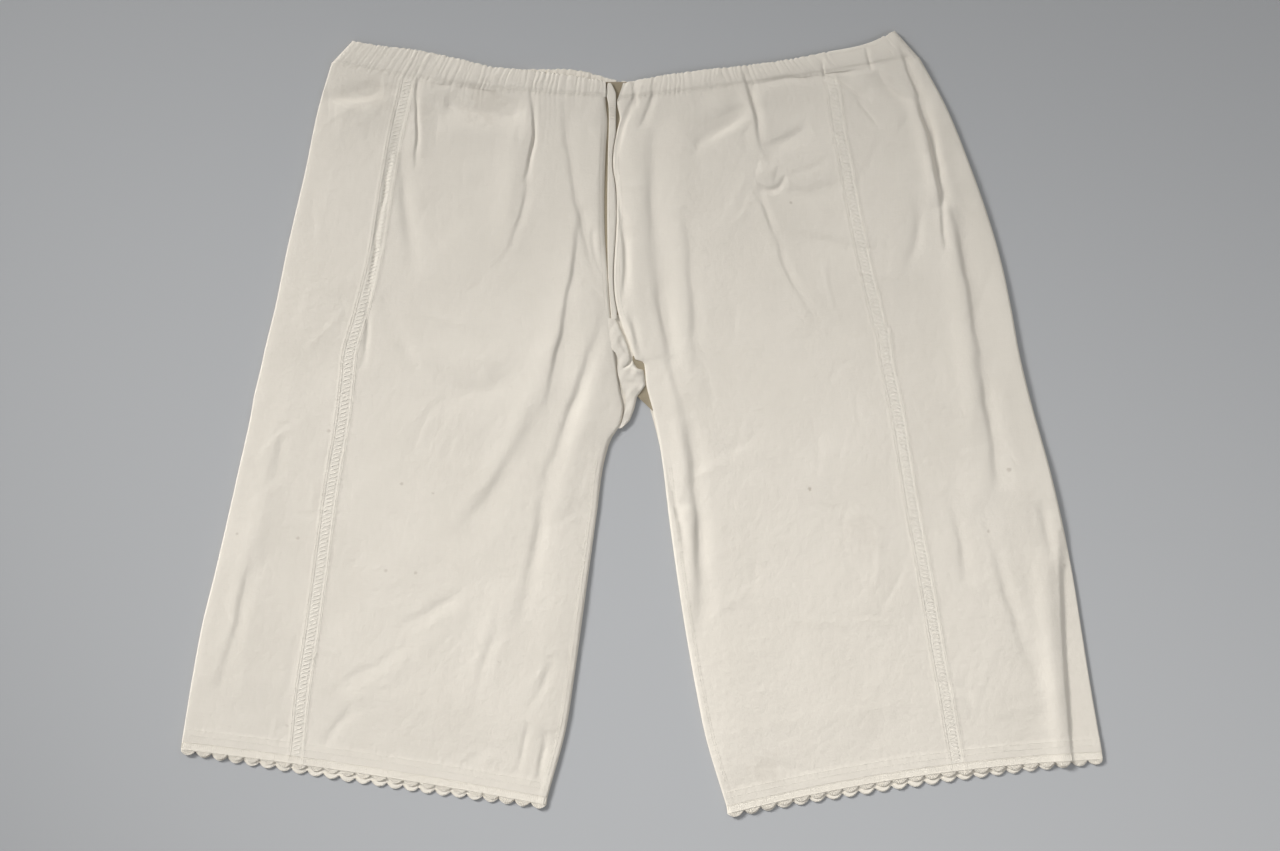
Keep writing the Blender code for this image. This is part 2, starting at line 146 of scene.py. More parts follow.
# The puckers along those seams: how high, how long and how far to each side.
FELL_PUCKERS, BRAID_PUCKERS, HEM_PUCKERS = (0.1, 0.9, 4), (0.09, 1.05, 4), (0.05, 1.1, 6)
FELL_SEAM, HEM_SEAM = 7, 11

# The broad folds of the front layer: x0, y0, x1, y1, bend, rise and width. Each is a ridge, or a
# trough where its rise is below 0, along a line whose middle stands aside by bend.
FOLDS = (
    (-36, 300, -38, 150, 0, 1.4, 11),
    (-98, 300, -118, 150, -8, 1.4, 12),
    (-200, 316, -204, 240, 0, 1.4, 11),
    (-282, 296, -214, 304, -3, 1.4, 11),
    (-160, 300, -110, 282, 5, -1, 12),
    (-48, 190, -162, -100, 16, 1.4, 14),
    (-30, 96, -88, -98, 6, 1.0, 13),
    (-148, -146, -270, -240, 8, 0.8, 13),
    (-118, -140, -158, -262, 2, 0.9, 13),
    (-322, 0, -372, -226, -4, 1.1, 13),
    (-250, 130, -120, 60, -34, 0.9, 14),
    (-12, 296, -10, 60, 6, 1.2, 11),
    (10, 260, 34, 40, -5, -0.6, 11),
    (34, 284, 50, -20, -4, 0.9, 12),
    (25, 60, 45, -190, 6, 1.5, 8),
    (-270, 302, -206, 304, -2, -1.6, 9),
    (-276, 278, -222, 280, -2, 1.5, 10),
    (-178, 291, -104, 283, 2, -2.6, 11),
    (-184, 266, -112, 260, 3, 1.3, 12),
    (92, 318, 110, 240, 2, 1.7, 11),
    (108, 210, 160, 96, -6, 0.9, 12),
    (60, 296, 96, 268, 4, 1.6, 12),
    (120, 286, 170, 256, 6, -0.8, 12),
    (170, 308, 236, 274, 6, 1.6, 11),
    (250, 300, 300, -30, 10, 2.2, 12),
    (268, 210, 372, -120, 14, -0.8, 13),
    (296, -20, 350, -196, -4, 1.1, 13),
    (360, -110, 382, -330, 0, 2.8, 10),
)

# The creases in them: x0, y0, x1, y1, bend, rise, left and right. left and right are the widths of
# a crease's two sides for someone who walks from its first point to its last: a sharp side is one
# to two millimetres.
RIGHT_CREASES = (
    (-286, 296, -232, 298, -3, -2.6, 9, 3),
    (-282, 285, -236, 286, -2, 1.2, 5, 6),
    (-202, 324, -203, 230, 0, -1.7, 2.6, 1.1),
    (-182, 309, -100, 272, 3, -2.4, 7, 16),
    (-158, 307, -176, 285, 1, -1.5, 4, 2),
    (-189, 304, -166, 307, 0, -0.8, 2.5, 4),
    (-100, 306, -106, 216, 5, -2.0, 3, 1.2),
    (-104, 234, -133, 140, 9, -0.7, 5, 1.6),
    (-219, 284, -203, 135, -3, -1.4, 9, 5),
    (-234, 118, -180, 28, -8, -0.9, 8, 8),
    (-186, 28, -108, 46, -6, -0.8, 10, 10),
    (-70, 294, -37, 122, -6, -1.3, 8, 3),
    (-43, 180, -30, 128, -6, -1, 3, 1.5),
    (-52, 132, -29, 105, 0, -0.8, 2.5, 5),
    (-52, 200, -88, 8, 2, -2.1, 15, 2.6),
    (-84, 30, -170, -107, 5, -1.5, 14, 7),
    (-30, 108, -89, -58, 0, -1.8, 9, 4),
    (-83, -36, -110, -185, 1, -1.3, 9, 5),
    (-150, -144, -222, -188, -1, -0.8, 9, 5),
    (-166, -172, -292, -250, -1, -0.7, 10, 6),
    (-258, -250, -292, -292, 0, -0.8, 6, 3),
    (-121, -150, -156, -262, 0, -0.7, 8, 5),
    (-81, -207, -102, -258, 2, -0.5, 5, 3.5),
    (-146, -294, -176, -316, 1, -0.6, 5, 3),
    (-322, 4, -334, -54, 2, -0.9, 7, 5),
    (-348, -105, -381, -242, 2, -1.3, 9, 4),
    (-87, -274, -94, -325, 1, -0.9, 4, 2.5),
    (-100, -262, -116, -318, 1, -0.7, 4, 2.5),
    (-324, 98, -280, 34, -3, -0.5, 8, 8),
    (-221, 264, -247, 105, -2, -1.4, 2.5, 2),
    (-246, 112, -253, 47, 2, -0.9, 3, 2),
)
LEFT_CREASES = (
    (92, 322, 110, 243, 0, -2.6, 6, 2),
    (97, 285, 46, 252, 2, -2.7, 5, 13),
    (108, 245, 152, 268, 1, -1.9, 4.5, 9),
    (104, 232, 121, 228, -1, 1.5, 6, 7),
    (102, 217, 130, 224, -9, -1.6, 2, 4),
    (112, 210, 186, 216, -3, -1.3, 6, 10),
    (118, 172, 226, 150, 2, -1, 6, 12),
    (102, 213, 122, 166, 0, -1.1, 5, 2),
    (121, 174, 160, 94, -7, -1.1, 6, 2.2),
    (94, 305, 171, 307, 6, -1.4, 2.5, 5),
    (146, 315, 207, 290, 5.5, -1.7, 5, 1.8),
    (209, 319, 248, 291, -6, -1.5, 3, 6),
    (192, 295, 214, 266, 0, -0.9, 3, 1.5),
    (190, 318, 248, 296, 8, 1.3, 5, 5),
    (230, 346, 254, 282, 0, -2.4, 6, 1.8),
    (247, 298, 271, 194, 3, -5.5, 6, 2.2),
    (241, 296, 265, 196, 3, 1.8, 4, 6),
    (268, 212, 273, 156, 0, -1.8, 4, 1.6),
    (201, 342, 207, 318, 0, -1.4, 2, 1.4),
    (162, 330, 164, 311, 0, -0.9, 1.5, 1.5),
    (162, 315, 206, 320, 0, -1.3, 1.2, 1.8),
    (276, 214, 307, 45, 2, -2.5, 11, 3.5),
    (302, 66, 322, -60, 1, -2.2, 12, 4),
    (306, -60, 364, -246, -6, -1.4, 9, 5),
    (276, -58, 294, -146, 1, -1, 7, 4),
    (243, 213, 236, 136, 9, -1, 6, 5),
    (356, -68, 369, -123, 2, -0.9, 6, 4),
    (12, 276, 14, 138, -4, -1.2, 9, 5),
    (13, 160, 41, 5, -5, -2.1, 11, 4.5),
    (38, 28, 53, -190, 5, -2.4, 10, 5),
    (39, 202, 50, 40, 1, -1.1, 8, 4),
    (18, -14, 43, -126, -1, -1, 4, 2.5),
    (10, 314, -2, 267, 4, -1.6, 4.5, 2),
    (-6, 312, -7, 285, 0, -1.8, 3, 2),
    (-6, 294, -22, 236, -5, -2.2, 3, 1.8),
    (-26, 234, -16, 180, -2, -2, 3.5, 1.6),
    (-18, 192, -15, 112, 1, -2.2, 4, 1.8),
    (-17, 105, -4, 58, 0, 0.8, 3, 3),
    (-12, 102, 2, 57, 0, -1.1, 4, 3),
    (386, -130, 402, -330, -1, -1.6, 7, 6),
    (54, -262, 68, -318, 0, -0.6, 6, 4),
)

# The crisp brinks beside which the cloth drops: x0, y0, x1, y1, bend, depth and width. The drop is on
# the left of someone who walks along the line, and width is that of the slope down.
RIGHT_BRINKS = ()
LEFT_BRINKS = ((374, -88, 392, -350, -4, 4.6, 12),)

LEGS = {
    "right": {
        "table": RIGHT_LEG,
        "casing": RIGHT_CASING,
        "sway": RIGHT_SWAY,
        "creases": RIGHT_CREASES,
        "brinks": RIGHT_BRINKS,
        "side_y": (326, -285),
        "inner_y": (296, -335),
        "tip_x": -261,
        "front_end_x": -32.6,
        "back_end_x": -23,
        "plain_run": (2, 2),
        "notch": (61, 0, 20),
        "seed": 3,
        "side_roll": 0.6,
    },
    "left": {
        "table": LEFT_LEG,
        "casing": LEFT_CASING,
        "sway": LEFT_SWAY,
        "creases": LEFT_CREASES,
        "brinks": LEFT_BRINKS,
        "side_y": (331, -294),
        "inner_y": (293, -343),
        "tip_x": 228,
        "front_end_x": -17,
        "back_end_x": -22,
        "plain_run": (0.75, 0.93),
        "notch": (57.5, 6.5, 17),
        "seed": 8,
        "side_roll": 1.3,
    },
}


def small_creases(leg):
    """Faint short creases strewn over a leg, in seeded places and directions, as washing leaves them."""
    draw = np.random.default_rng(leg["seed"] + 70)
    count = 70
    y = draw.uniform(-330, 300, count)
    middle = np.interp(-y, (-300, 330), (leg["tip_x"] * 0.6, leg["tip_x"] * 0.95))
    x = middle + draw.uniform(-170, 170, count)
    turn, length = draw.uniform(0, math.pi, count), draw.uniform(25, 80, count)
    over, up = 0.5 * length * np.cos(turn), 0.5 * length * np.sin(turn)
    rise = draw.uniform(0.12, 0.36, count) * draw.choice((-1, -1, 1), count)
    bend = draw.uniform(-5, 5, count)
    left, right = draw.uniform(2, 6, count), draw.uniform(2, 6, count)
    rows = (x - over, y - up, x + over, y + up, bend, rise, left, right)
    return tuple(np.stack(rows, axis=1).tolist())


def column(table, columns, name):
    """One named column of a table, as an array."""
    return np.array([row[columns.index(name)] for row in table], float)


def smooth(at, stations, values):
    """A cubic curve through the values, whose slope at each station is the mean slope around it."""
    slopes = np.gradient(values, stations)
    at = np.clip(at, stations.min(), stations.max())
    k = np.clip(np.searchsorted(stations, at) - 1, 0, len(stations) - 2)
    span = stations[k + 1] - stations[k]
    t = (at - stations[k]) / span
    start = (1 + 2 * t) * (1 - t) ** 2 * values[k] + t * (1 - t) ** 2 * span * slopes[k]
    end = t**2 * (3 - 2 * t) * values[k + 1] + t**2 * (t - 1) * span * slopes[k + 1]
    return start + end


def curve(table, columns, name, at):
    """A column of a table at any place of its first one, which rises or falls down the table."""
    stations = column(table, columns, columns[0])
    turn = 1 if stations[-1] > stations[0] else -1
    return smooth(turn * at, turn * stations, column(table, columns, name))


def leg_value(leg, name, level):
    """A column of the leg's table at any level."""
    return curve(leg["table"], LEG_COLUMNS, name, level)


def between(ends, share):
    """A straight run from one value, at share 0, to another, at share 1."""
    return ends[0] + (ends[1] - ends[0]) * share


def together(*parts):
    """Arrays that spread to one shape, side by side on a last axis."""
    return np.stack(np.broadcast_arrays(*parts), axis=-1)


def bell(distance, width):
    """1 on a line and less to both sides of it: e to the power of minus the square of distance over width."""
    return np.exp(-((distance / width) ** 2))


def leg_height(leg):
    """The height of the leg from the casing seam to the edging seam, at the side."""
    return abs(leg["side_y"][1] - leg["side_y"][0])


def step(value, at, soft=0.5):
    """0 below a value and 1 above it, with a soft change between."""
    return 0.5 + 0.5 * np.tanh((value - at) / soft)


def inner_edge(leg, level, layer):
    """The inner end of a section, which the back layer ends at the centre back seam."""
    y = between(leg["inner_y"], level)
    if layer == "front":
        top_y, notch, fade = leg["notch"]
        below = top_y - y
        cut = notch * step(below, 0) * bell(below, fade)
        sway = curve(leg["sway"], SWAY_COLUMNS, "aside", y)
        return leg_value(leg, "front_x", level) + cut + sway, y
    x = leg_value(leg, "back_x", level)
    (top_y, top_x), (low_y, low_x) = CENTRE_BACK
    seam = np.where(y > low_y, between((top_x, low_x), (top_y - y) / (top_y - low_y)), low_x)
    if leg is LEGS["right"]:
        return np.minimum(x, seam - HALF_GAP), y
    return np.maximum(x, seam + HALF_GAP), y


def section_width(leg, level, layer="front"):
    """The length of a section from its inner edge to the side fold."""
    inner_x, inner_y = inner_edge(leg, level, layer)
    side_x = leg_value(leg, "side_x", level)
    return np.hypot(side_x - inner_x, between(leg["side_y"], level) - inner_y)


def plan(leg, level, across, layer):
    """x and y of a point of a section: a shallow arc from the inner edge (0) to the side (1)."""
    inner_x, inner_y = inner_edge(leg, level, layer)
    side_x, side_y = leg_value(leg, "side_x", level), between(leg["side_y"], level)
    arch = leg_value(leg, "bow", level) * 4 * across * (1 - across)
    x = between((inner_x, side_x), across)
    y = between((inner_y, side_y), across) + arch
    if layer == "back":
        y = y - HEM_PEEK * np.sin(np.pi * across) * np.clip(level, 0, 1) ** 4
    return x, y


def ripples(x, y, seed, count, shortest, longest):
    """A sum of sine waves in seeded directions and lengths, scaled to a height of about one."""
    draw = np.random.default_rng(seed)
    total = 0
    for _ in range(count):
        turn = draw.uniform(0, math.pi)
        length = shortest * (longest / shortest) ** draw.uniform()
        start = draw.uniform(0, 2 * math.pi)
        total = total + np.sin(2 * math.pi * (x * math.cos(turn) + y * math.sin(turn)) / length + start)
    return total / math.sqrt(count / 2)


def mottle(x, y, seed, cell):
    """Soft uneven heights from -1 to 1: seeded values on a slanting grid, and smooth curves between them."""
    cells = 128
    values = np.random.default_rng(seed).uniform(-1, 1, (cells, cells))
    u, v = (0.8 * x + 0.6 * y) / cell + cells // 2, (0.8 * y - 0.6 * x) / cell + cells // 2
    i, j = np.floor(u).astype(int), np.floor(v).astype(int)
    s, t = u - i, v - j
    s, t = s**3 * (s * (6 * s - 15) + 10), t**3 * (t * (6 * t - 15) + 10)
    near = values[i, j] * (1 - s) + values[i + 1, j] * s
    far = values[i, j + 1] * (1 - s) + values[i + 1, j + 1] * s
    return near * (1 - t) + far * t


def along_line(x, y, x0, y0, x1, y1, bend):
    """The share of a bent line passed at each point, its distance to the left, and the fade at its ends."""
    length = math.hypot(x1 - x0, y1 - y0)
    along_x, along_y = (x1 - x0) / length, (y1 - y0) / length
    share = ((x - x0) * along_x + (y - y0) * along_y) / length
    inside = np.clip(4 * share * (1 - share), 0, 1)
    return share, (y - y0) * along_x - (x - x0) * along_y - bend * inside, inside


def fold_height(x, y):
    """The broad folds: along each line a bell-shaped ridge or trough that fades out at both ends."""
    height = np.zeros(np.broadcast(x, y).shape)
    for x0, y0, x1, y1, bend, rise, width in FOLDS:
        _, aside, inside = along_line(x, y, x0, y0, x1, y1, bend)
        height += rise * inside**0.6 * bell(aside, width)
    return height


def crease_height(leg, x, y):
    """The creases: bells with a left and a right width, which wander a little and vary in depth."""
    height = np.zeros(np.broadcast(x, y).shape)
    for k, (x0, y0, x1, y1, bend, rise, left, right) in enumerate(leg["creases"]):
        share, aside, inside = along_line(x, y, x0, y0, x1, y1, bend)
        reach = math.hypot(x1 - x0, y1 - y0)
        aside = aside + 0.6 * np.sin(share * reach / 9 + 2.1 * k) + 0.25 * np.sin(share * reach / 4.3 + k)
        varied = 1 + 0.22 * np.sin(share * reach / 15 + 1.7 * k)
        width = np.where(aside > 0, left, right) * (1.5 - 0.65 * inside)
        height += 0.85 * rise * varied * inside**0.8 * bell(aside, width)
    return height


def brink_drop(leg, x, y):
    """The drop of the cloth beside the brinks: a slope, steepest at the brink and level a width away."""
    drop = np.zeros(np.broadcast(x, y).shape)
    for x0, y0, x1, y1, bend, depth, width in leg["brinks"]:
        _, aside, inside = along_line(x, y, x0, y0, x1, y1, bend)
        drop += depth * inside**0.7 * (1 - (1 - np.clip(aside / width, 0, 1)) ** 2)
    return drop


def gather_table(seed):
    """The gathers across one casing: valleys (towards 0) of uneven depth and width between ridges (1)."""
    draw = np.random.default_rng(seed)
    at = (np.arange(GATHERS) + draw.uniform(0.1, 0.9, GATHERS)) / GATHERS
    deep = draw.uniform(0.3, 1.0, GATHERS)
    wide = draw.uniform(0.16, 0.42, GATHERS) / GATHERS
    across = np.linspace(0, 1, 1601)
    valleys = deep[:, None] * np.exp(-(np.abs((across - at[:, None]) / wide[:, None]) ** 1.5))
    return across, 1 - valleys.max(axis=0)


for leg in LEGS.values():
    leg["creases"] += small_creases(leg)
    leg["gathers"] = gather_table(leg["seed"])


def gather_wave(leg, across):
    """The height of the gathers, from 0 to 1, which is even where the waist isn't gathered."""
    wave = np.interp(across, *leg["gathers"])
    plain_from, plain_to = leg["plain_run"]
    edge = np.clip(np.minimum(across - plain_from, plain_to - across) / 0.01 + 0.5, 0, 1)
    return wave * (1 - edge) + PLAIN_HEIGHT * edge


def turned_in(turn, distance):
    """The height that a turned-in edge adds at a distance from it."""
    wide, thick = turn
    return thick * step(wide, distance)


def seam_puckers(puckers, along, aside, start=0):
    """Small waves along a seam, a sine of the way along it, which fade as a bell to both sides."""
    rise, pitch, reach = puckers
    return rise * np.sin(along / pitch + start) * bell(aside, reach)


def front_top(leg, level, across, x, y):
    """The upper face of the front layer.

    It lies flat on the back layer but for its loft, folds, creases and gathers, the
    roll of the side and the lift up to the casing. Turned-in edges add their layers,
    and the inner edge rolls down to the back layer.
    """
    width = section_width(leg, level)
    from_inner = across * width
    from_side = (1 - across) * width
    from_casing = level * leg_height(leg)
    from_hem = (1 - level) * leg_height(leg)
    open_share = np.clip(12 * across * (1 - across), 0, 1) ** 0.5
    loft = LOFT * open_share * np.clip(0.7 + 4 * level * (1.1 - level), 0, 1)
    loft = loft * np.clip(from_hem / LOFT_REACH, 0.2, 1)
    ends = np.clip(from_casing / CASING_LIFT_REACH, 0.4, 1)
    inside = np.clip(from_inner / 6, 0, 1)
    raised = loft + fold_height(x, y) * ends * inside * 0.8
    raised = raised + crease_height(leg, x, y) - brink_drop(leg, x, y)
    for k, (rise, cell) in enumerate(UNEVEN):
        raised = raised + rise * mottle(x, y, leg["seed"] + k, cell)
    raised = raised + leg["side_roll"] * bell(from_side, SIDE_ROLL_REACH)
    lying = np.where(raised > LYING, raised, LYING * np.exp(np.minimum(raised, LYING) / LYING - 1))
    lift = CASING_LIFT * bell(from_casing, CASING_LIFT_REACH)
    reach = between(GATHER_RUN, (0.5 + 0.5 * np.sin(23 * across + leg["seed"])) ** 2)
    gathers = GATHER_RISE * (gather_wave(leg, across) - PLAIN_HEIGHT) * np.exp(-from_casing / reach)
    middle = leg_value(leg, "insertion", level) * width
    beside = np.abs(from_inner - middle) - INSERTION_WIDTH / 2
    below_crotch = step(level, 0.5, 0.01)
    layers = turned_in(HEM_TURN, from_hem) + turned_in(FELL_TURN, from_inner) * below_crotch
    layers = layers + turned_in(BRAID_TURN, np.abs(beside)) * (beside > 0)
    along = from_casing + 3 * np.sin(from_casing / 17)
    puckers = seam_puckers(FELL_PUCKERS, along, from_inner - FELL_SEAM) * below_crotch
    puckers = puckers + seam_puckers(BRAID_PUCKERS, along, beside, 1)
    along = from_inner + 4 * np.sin(from_inner / 13)
    puckers = puckers + seam_puckers(HEM_PUCKERS, along, from_hem - HEM_SEAM)
    top = FRONT_BASE + lying + lift + gathers + layers + puckers
    rolled = 1 - np.clip(from_inner / EDGE_ROLL, 0, 1)
    return EDGE_LOW + (top - EDGE_LOW) * np.sqrt(1 - rolled**2)


def side_turn(leg, level):
    """The radius of the side fold: half the height of the front layer there."""
    across = 1 - FOLD_TURN / section_width(leg, level)
    x, y = plan(leg, level, across, "front")
    return front_top(leg, level, across, x, y) / 2


def leg_surface(leg, level, across, turn):
    """The cloth's outer face and its outward direction.

    turn is 0 degrees on the front layer and 180 on the back layer. Between them the
    point lies on the side fold's half circle. The back layer touches the surface but
    for a few low rumples.
    """
    angle = np.radians(turn)
    width = section_width(leg, level)
    radius = side_turn(leg, level)
    on_fold = (turn > 0) & (turn < 180)
    across = np.where(on_fold, 1 - radius * (1 - np.sin(angle)) / width, across)
    front_x, front_y = plan(leg, level, across, "front")
    back_x, back_y = plan(leg, level, across, "back")
    share = (1 - np.cos(angle)) / 2
    x, y = between((front_x, back_x), share), between((front_y, back_y), share)
    top = front_top(leg, level, across, front_x, front_y)
    rumple = 0.25 * np.clip(ripples(x, y, leg["seed"] + 9, 6, 30, 90) - 0.5, 0, 1)
    z = top * (1 + np.cos(angle)) / 2 + rumple * share
    inner_x, inner_y = inner_edge(leg, level, "front")
    side_x, side_y = leg_value(leg, "side_x", level), between(leg["side_y"], level)
    out_x, out_y = (side_x - inner_x) / width, (side_y - inner_y) / width
    outward = together(np.sin(angle) * out_x, np.sin(angle) * out_y, np.cos(angle) + 0 * x)
    return together(x, y, z), outward


def add_mesh(name, points, faces, uv, material, sharp=50):
    """A mesh object from millimetre points, an array of faces for each corner count, and a cut layout."""
    corners = np.concatenate([f.ravel() for f in faces]).astype(np.int32)
    totals = np.concatenate([np.full(len(f), f.shape[1]) for f in faces])
    mesh = bpy.data.meshes.new(name)
    mesh.vertices.add(len(points))
    mesh.vertices.foreach_set("co", (np.asarray(points) * MM).ravel())
    mesh.loops.add(len(corners))
    mesh.loops.foreach_set("vertex_index", corners)
    mesh.polygons.add(len(totals))
    starts = np.concatenate([[0], np.cumsum(totals)[:-1]])
    mesh.polygons.foreach_set("loop_start", starts.astype(np.int32))
    mesh.update(calc_edges=True)
    cut = mesh.uv_layers.new(name="cut")
    cut.data.foreach_set("uv", (np.asarray(uv) * MM)[corners].astype(np.float32).ravel())
    mesh.shade_smooth()
    if sharp < 180:
        mesh.set_sharp_from_angle(angle=math.radians(sharp))
    mesh.materials.append(material)
    made = bpy.data.objects.new(name, mesh)
    bpy.context.scene.collection.objects.link(made)
    return made


def grid_quads(index, flip):
    """The quads of a grid of point numbers, turned over if asked."""
    corners = [index[:-1, :-1], index[1:, :-1], index[1:, 1:], index[:-1, 1:]]
    quads = np.stack(corners, axis=-1).reshape(-1, 4)
    return quads[:, ::-1] if flip else quads


def rim_triangles(fine, coarse, stops, flip):
    """The strip between a fine edge and the coarse edge under it, which meets it at the stops."""
    owner = np.searchsorted(stops, np.arange(len(fine) - 1), side="right") - 1
    fans = np.stack([fine[:-1], fine[1:], coarse[owner]], axis=-1)
    closing = np.stack([fine[stops[1:]], coarse[1:], coarse[:-1]], axis=-1)
    strip = np.concatenate([fans, closing])
    return strip[:, ::-1] if flip else strip


def window_low(height, reach):
    """The lowest value within a number of grid steps, both ways."""
    for axis in (0, 1):
        padded = np.pad(height, [(reach, reach) if k == axis else (0, 0) for k in (0, 1)], mode="edge")
        size = height.shape[axis]
        shifts = [np.take(padded, np.arange(k, k + size), axis) for k in range(2 * reach + 1)]
        height = np.minimum.reduce(shifts)
    return height


def stops_within(size, stride, fine=()):
    """Every stride-th number of a row, its last one, and all of the fine ones."""
    return np.unique(np.concatenate([np.arange(0, size, stride), [size - 1], np.asarray(fine, int)]))


def turned_over(outer, outward):
    """Whether the quads of a grid of points have to be turned over to face outwards."""
    a, b = outer[1, 0] - outer[0, 0], outer[0, 1] - outer[0, 0]
    return np.dot(np.cross(a, b), outward[0, 0]) < 0


def cloth_shell(name, outer, outward, uv, row_stops, column_stops, material, stride=4):
    """A closed cloth wall: a fine outer face, a coarse inner face under it and a rim between them."""
    rows, columns = outer.shape[:2]
    signed = outer[..., 2] * outward[..., 2]
    slack = signed - window_low(signed, stride)
    inner = outer - outward * (CLOTH + slack)[..., None]
    inner = inner[np.ix_(row_stops, column_stops)]
    points = np.concatenate([outer.reshape(-1, 3), inner.reshape(-1, 3)])
    inner_uv = uv[np.ix_(row_stops, column_stops)]
    layout = np.concatenate([uv.reshape(-1, 2), inner_uv.reshape(-1, 2)])
    out = np.arange(rows * columns).reshape(rows, columns)
    back = rows * columns + np.arange(inner.shape[0] * inner.shape[1]).reshape(inner.shape[:2])
    flip = turned_over(outer, outward)
    faces_4 = [grid_quads(out, flip), grid_quads(back, not flip)]
    faces_3 = [
        rim_triangles(out[0], back[0], column_stops, not flip),
        rim_triangles(out[-1], back[-1], column_stops, flip),
        rim_triangles(out[:, 0], back[:, 0], row_stops, flip),
        rim_triangles(out[:, -1], back[:, -1], row_stops, not flip),
    ]
    return add_mesh(name, points, [np.concatenate(faces_4), np.concatenate(faces_3)], layout, material)


def node(tree, kind, inputs=None, **settings):
    """A shader node with its settings, and each input linked to a socket or set to a value."""
    made = tree.nodes.new(kind)
    for key, value in settings.items():
        setattr(made, key, value)
    for key, value in (inputs or {}).items():
        if isinstance(value, bpy.types.NodeSocket):
            tree.links.new(value, made.inputs[key])
        else:
            made.inputs[key].default_value = value
    return made


def maths(tree, operation, *values):
    """One Math node, as its output socket."""
    return node(tree, "ShaderNodeMath", dict(enumerate(values)), operation=operation).outputs[0]


def noise(tree, place, scale, detail, roughness=0.5):
    """A noise texture's value, from 0 to 1, at a place."""
    inputs = {"Vector": place, "Scale": scale, "Detail": detail, "Roughness": roughness}
    return node(tree, "ShaderNodeTexNoise", inputs).outputs[0]


def mixed(tree, share, first, second):
    """A colour between two, by a share."""
    return node(tree, "ShaderNodeMix", {0: share, 6: first, 7: second}, data_type="RGBA").outputs[2]


def plain_material(name, sockets):
    """A material whose Principled shader has these sockets set to plain values."""
    material = bpy.data.materials.new(name)
    material.use_nodes = True
    for socket, value in sockets.items():
        material.node_tree.nodes["Principled BSDF"].inputs[socket].default_value = value
    return material


def add_colour_and_relief(tree, colour, height, bump):
    """Links a colour, and a height in metres as a bump, to the shader."""
    shader = tree.nodes["Principled BSDF"]
    tree.links.new(colour, shader.inputs["Base Color"])
    relief = node(tree, "ShaderNodeBump", {"Height": height, "Strength": bump, "Distance": 1.0})
    tree.links.new(relief.outputs[0], shader.inputs["Normal"])


def placed(tree, group, inputs):
    """The outputs of a group placed in a material with its own values."""
    return node(tree, "ShaderNodeGroup", inputs, node_tree=group).outputs


def weighed(tree, first, second):
    """The sum of two values, each times its own weight."""
    return maths(tree, "ADD", maths(tree, "MULTIPLY", *first), maths(tree, "MULTIPLY", *second))


def thread_wave(tree, along, turn, length):
    """The sine of the way along, times a turn, over a length."""
    return maths(tree, "SINE", maths(tree, "DIVIDE", maths(tree, "MULTIPLY", along, turn), length))


def node_group(name, inputs, outputs):
    """An empty shader group with its sockets, and its input and output nodes."""
    tree = bpy.data.node_groups.new(name, "ShaderNodeTree")
    for title, kind, value in inputs:
        socket = tree.interface.new_socket(title, in_out="INPUT", socket_type=kind)
        if value is not None:
            socket.default_value = value
    for title, kind in outputs:
        tree.interface.new_socket(title, in_out="OUTPUT", socket_type=kind)
    return tree, tree.nodes.new("NodeGroupInput").outputs, tree.nodes.new("NodeGroupOutput").inputs


# The plain weave: threads over and under each other, with thicker slubs along both ways.
weave_group, given, taken = node_group(
    "plain weave",
    (("Cut", "NodeSocketVector", None), ("Thread", "NodeSocketFloat", 0.0005)),
    (("Height", "NodeSocketFloat"), ("Slub", "NodeSocketFloat")),
)
place = node(weave_group, "ShaderNodeSeparateXYZ", {0: given["Cut"]}).outputs
weft = thread_wave(weave_group, place[0], math.pi, given["Thread"])
warp = thread_wave(weave_group, place[1], math.pi, given["Thread"])
crossing = maths(weave_group, "ABSOLUTE", maths(weave_group, "MULTIPLY", weft, warp))
crossing = maths(weave_group, "SQRT", crossing)
slubs = []
for stretch in ((1500, 45, 0), (45, 1500, 0)):
    stretched = node(weave_group, "ShaderNodeVectorMath", {0: given["Cut"], 1: stretch}, operation="MULTIPLY")
    slubs.append(noise(weave_group, stretched.outputs[0], 1.0, 1.0))
slub = maths(weave_group, "MULTIPLY", maths(weave_group, "ADD", slubs[0], slubs[1]), 0.5)
weave_group.links.new(maths(weave_group, "ADD", crossing, slub), taken["Height"])
weave_group.links.new(slub, taken["Slub"])

# Old rust and dust specks on the cloth: x, y, radius and strength.
SPECKS = (
    (151, -58, 2.6, 0.40),
    (311, -95, 2.4, 0.36),
    (134, 200, 2.2, 0.26),
    (-216, -53, 2.3, 0.30),
    (-188, -61, 2.4, 0.27),
    (-230, -131, 2.2, 0.22),
    (-203, -133, 2.2, 0.24),
    (-309, -102, 2.2, 0.26),
    (-364, -98, 2.0, 0.22),
    (-281, -5, 2.2, 0.20),
    (-319, -271, 2.2, 0.20),
    (-129, -213, 2.0, 0.20),
    (330, -40, 2.1, 0.24),
)
# Faint grey and yellow patches, in the same columns. The first three are marks that washing left;
# the last three, below the right half of the casing, darken its hollows partly as stain and partly as painted
# shade.
WASH_AND_SHADE_PATCHES = (
    (196, -96, 24.0, 0.05),
    (113, -311, 22.0, 0.07),
    (-14, 178, 14.0, 0.04),
    (-142, 289, 24.0, 0.10),
    (-236, 297, 22.0, 0.07),
    (-198, 284, 14.0, 0.06),
)
# The brown of the specks and patches: stains, and painted shade in the patches below the casing.
STAIN_AND_SHADE_BROWN = (0.20, 0.13, 0.07, 1.0)
SPECK_Z = 4
